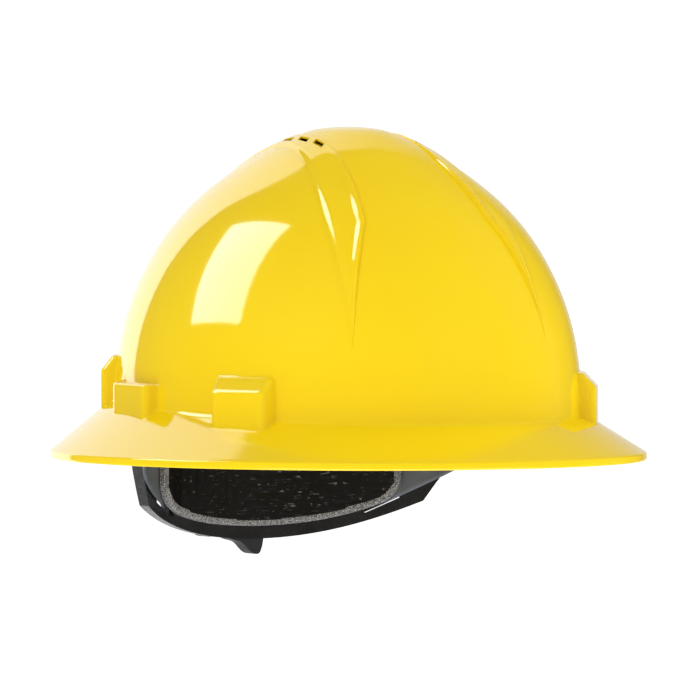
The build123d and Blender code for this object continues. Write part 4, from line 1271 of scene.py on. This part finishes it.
def cushion(name, body, centre, half_angle, back, low, high, most_thickness, edge_thickness):
    """A padded strip inside a curved band.

    centre and half_angle say where it lies. back, low and high give the radius behind it and
    the heights of its edges from the share of the way from its middle, -1 to 1. The pad is
    edge_thickness deep plus what the cloth adds, and never deeper than most_thickness.
    """
    fine = np.linspace(-1, 1, plan_samples)
    steps = np.diff(fine) * radians(half_angle) * (back(fine)[1:] + back(fine)[:-1]) / 2
    travelled = np.concatenate([[0], np.cumsum(steps)])
    length = travelled[-1]
    along = pad_stations(length, foam_border, station_along) * length
    share = np.interp(along, travelled, fine)
    up = pad_stations(float(high(0.0) - low(0.0)), foam_border, station_up)
    middle = (low(share) + high(share)) / 2
    half = (high(share) - low(share)) / 2 * np.sqrt(1 - pad_end_pull_share * np.abs(share) ** 4)
    from_end = np.minimum(along, length - along)
    reach = pad_corner - np.minimum(from_end, pad_corner)
    cut = pad_corner - np.sqrt(np.clip(pad_corner ** 2 - reach ** 2, 0, None))
    bottom = middle - half + end_corner_share * cut
    height = bottom[:, None] + (middle + half - bottom)[:, None] * up
    slope = np.gradient(bottom, along)
    to_low = (height - bottom[:, None]) / np.sqrt(1 + slope ** 2)[:, None]
    nearest = np.minimum(np.minimum(to_low, (middle + half)[:, None] - height), from_end[:, None])
    rise = np.clip(nearest / foam_border, 0, 1)
    rounded = np.sqrt(1 - (1 - rise) ** 2)
    flat = edge_thickness * (edge_foot_share + (1 - edge_foot_share) * rounded)
    angle = (centre + share * half_angle)[:, None]
    behind = back(share)[:, None]
    bottom_grid = at(angle, behind + 0 * flat, height)
    points, faces = slab_mesh(at(angle, behind - flat, height), bottom_grid)
    near = np.concatenate([nearest.ravel(), np.zeros(nearest.size)])
    crown = swollen(points, faces, near < foam_border, most_thickness - edge_thickness)
    crown = crown[:nearest.size].reshape(nearest.shape)
    x = (along - length / 2)[:, None]
    face_share = smooth_step(nearest, foam_border, foam_border + crease_fade)
    thick = flat + crown - crease_depth * creases(x + 0 * height, height) * face_share
    points, faces = slab_mesh(at(angle, behind - thick, height), bottom_grid)
    piece = piece_from(name, points, faces, body, "pad", pad_sharp_angle)
    places = np.stack(np.broadcast_arrays(x, height, thick), axis=-1).reshape(-1, 3)
    mark_cloth(piece, np.concatenate([places, places]))
    piece.data.materials.append(leather)
    piece.data.materials.append(foam)
    for polygon in piece.data.polygons:
        inside = min(near[i] for i in polygon.vertices)
        polygon.material_index = 0 if inside >= foam_border * coated_from_share else 1
    print(name, "faces:", len(piece.data.polygons), "crown to", round(float(crown.max()), 2), "mm")
    return piece


def nape_behind(share):
    """Radius behind the nape pad; its ends step in over the cradle's windows."""
    recess = smooth_step(np.abs(share) * nape_end_angle, nape_recess_start_angle, nape_recess_end_angle)
    return cradle_radius - soft_gap - nape_back_recess * recess


def brow_behind(share):
    """Radius behind the brow pad, the inside of the headband."""
    return (ellipse_radius(share * brow_end_angle, band_half_width, band_half_length)
            - band_thickness / 2 - soft_gap)


nape_cushion = cushion(
    "nape_cushion", "nape", 180.0, nape_end_angle, nape_behind,
    lambda share: -nape_low + (nape_low - nape_end_low) * share ** 2, lambda share: nape_high + 0 * share,
    nape_most_thickness, nape_edge_thickness)
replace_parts(nape_cushion, "nape_pad")
brow_cushion = cushion(
    "brow_cushion", "hat", 0.0, brow_end_angle, brow_behind,
    lambda share: band_low - brow_overhang / 2 + 0 * share,
    lambda share: band_high + brow_overhang / 2 + 0 * share,
    brow_most_thickness, brow_edge_thickness)
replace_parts(brow_cushion, "brow_pad")

# %% [markdown]
# ## Stage, light and camera
# The photograph is a product shot on white: a white wall behind, a soft box at the upper left that
# shows as one pale patch on the dome, and a dim room in front. Two panels stand where the patch
# and the pale edges say they stood, a third lies low in front, and soft area lights do the rest.
# The floor glows, as a light table does, so it stays white under the hat.

# %% Stage
camera_distance = 15.0
camera_elevation = 2.0
camera_azimuth = -27.0
camera_lens = 1601.0
aim_right = 0.00097
aim_up = 0.0523
light_aim_height = 0.05
panel_distance = 1.6
softbox_outline = ((-122, 43), (-93, 62), (-74, 25), (-101, 19))
softbox_glow = 9.0
wall_distance = 4.0
wall_outline = ((-140, -18), (-139, 5), (-144, 44), (-149, 52), (180, 53), (167, 46), (160, 39),
                (158, 27), (137, 24), (130, 15), (134, -18))
wall_glow = (2.4, 0.1)
wall_span = (-3.2, 1.7)
low_outline = ((-70, -62), (90, -62), (70, -17), (-45, -17))
low_glow = 3.0
floor_size = 30.0
floor_height = -0.3
floor_glow = 0.9

towards = np.array([sin(radians(camera_azimuth)), -cos(radians(camera_azimuth)), 0])
right = np.array([-towards[1], towards[0], 0])


def studio_point(azimuth, elevation, distance):
    """Point in a direction from the hat; azimuth 0 is the camera's side, positive to its right."""
    turn = radians(azimuth)
    level = cos(turn) * towards + sin(turn) * right
    return distance * (cos(radians(elevation)) * level + sin(radians(elevation)) * np.array([0, 0, 1]))


def glow_panel(name, corners, strength, span=None):
    """Flat glowing panel that shows in the gloss but not to the camera.

    With a span, the strength is a pair and fades between two places from left to right.
    """
    mesh = bpy.data.meshes.new(name)
    mesh.from_pydata([tuple(c) for c in corners], [], [list(range(len(corners)))])
    panel = bpy.data.objects.new(name, mesh)
    bpy.context.scene.collection.objects.link(panel)
    finish = Finish(name)
    if span:
        coordinates = finish.node("TexCoord").outputs["Object"]
        across = finish.node("VectorMath", {"operation": "DOT_PRODUCT"}, i0=coordinates, i1=tuple(right))
        strength = finish.spread(across.outputs["Value"], *strength, *span)
    glow = finish.node("Emission", None, Strength=strength)
    finish.tree.links.new(glow.outputs[0], finish.tree.nodes["Material Output"].inputs["Surface"])
    mesh.materials.append(finish.material)
    panel.visible_camera = False
    panel.visible_shadow = False
    panel.visible_diffuse = False
    return panel


def soft_light(name, azimuth, elevation, distance, size, power):
    """Square area light aimed at the hat."""
    lamp = bpy.data.lights.new(name, "AREA")
    lamp.shape = "SQUARE"
    lamp.size = size
    lamp.energy = power
    light = bpy.data.objects.new(name, lamp)
    bpy.context.scene.collection.objects.link(light)
    place = studio_point(azimuth, elevation, distance)
    light.location = tuple(place)
    toward = np.array([0, 0, light_aim_height]) - place
    light.rotation_euler = mathutils.Vector(toward).to_track_quat("-Z", "Y").to_euler()
    light.visible_glossy = False
    return light


glow_panel("softbox_panel", [studio_point(*way, panel_distance) for way in softbox_outline], softbox_glow)
wall_rays = [studio_point(*way, 1) for way in wall_outline]
wall_corners = [ray * wall_distance / -np.dot(ray, towards) for ray in wall_rays]
glow_panel("white_wall", wall_corners, wall_glow, wall_span)
glow_panel("low_panel", [studio_point(*way, panel_distance) for way in low_outline], low_glow)

soft_lights = (
    ("key_light", -45, 40, 1.8, 1.4, 12.6), ("fill_light", 50, 25, 1.8, 1.6, 7.2),
    ("side_light", 115, 35, 1.8, 1.4, 13.0), ("top_light", 0, 85, 1.6, 1.6, 6.0),
)
for name, azimuth, elevation, distance, size, power in soft_lights:
    soft_light(name, azimuth, elevation, distance, size, power)

floor_mesh = bpy.data.meshes.new("floor")
floor_mesh.from_pydata([(x * floor_size, y * floor_size, floor_height)
                        for x, y in ((-1, -1), (1, -1), (1, 1), (-1, 1))], [], [[0, 1, 2, 3]])
floor = bpy.data.objects.new("floor", floor_mesh)
bpy.context.scene.collection.objects.link(floor)
floor_finish = Finish("floor_white", Base_Color=(0.9, 0.9, 0.9, 1), Roughness=0.9)
floor_finish.surface.inputs["Emission Color"].default_value = (1, 1, 1, 1)
floor_finish.surface.inputs["Emission Strength"].default_value = floor_glow
floor_mesh.materials.append(floor_finish.material)
floor.visible_glossy = False
print("stage:", len(soft_lights), "lights and three panels")

# %% [markdown]
# ## World and camera
# The camera sees a white backdrop, while the hat is lit by a much dimmer room, because a white
# world all round would wash out the colour. A long lens from far away keeps the brim's edge as
# flat as in the photograph.

# %% World and camera
backdrop_glow = 1.0
room_glow = 0.2
scene = bpy.context.scene
world = bpy.data.worlds.new("studio")
world.use_nodes = True
scene.world = world
nodes, links = world.node_tree.nodes, world.node_tree.links
nodes.clear()
output = nodes.new("ShaderNodeOutputWorld")
mix = nodes.new("ShaderNodeMixShader")
rays = nodes.new("ShaderNodeLightPath")
backdrop = nodes.new("ShaderNodeBackground")
backdrop.inputs["Color"].default_value = (1, 1, 1, 1)
backdrop.inputs["Strength"].default_value = backdrop_glow
room = nodes.new("ShaderNodeBackground")
room.inputs["Color"].default_value = (1, 1, 1, 1)
room.inputs["Strength"].default_value = room_glow
links.new(rays.outputs["Is Camera Ray"], mix.inputs["Fac"])
links.new(room.outputs[0], mix.inputs[1])
links.new(backdrop.outputs[0], mix.inputs[2])
links.new(mix.outputs[0], output.inputs["Surface"])

lens = bpy.data.cameras.new("camera")
lens.lens = camera_lens
lens.sensor_width = 36.0
lens.clip_start = 0.05
camera = bpy.data.objects.new("camera", lens)
scene.collection.objects.link(camera)
aim = right * aim_right + np.array([0, 0, aim_up])
place = aim + camera_distance * (cos(radians(camera_elevation)) * towards
                                 + sin(radians(camera_elevation)) * np.array([0, 0, 1]))
camera.location = tuple(place)
camera.rotation_euler = mathutils.Vector(tuple(aim - place)).to_track_quat("-Z", "Y").to_euler()
scene.camera = camera
scene.view_settings.view_transform = "Standard"
scene.view_settings.look = "None"
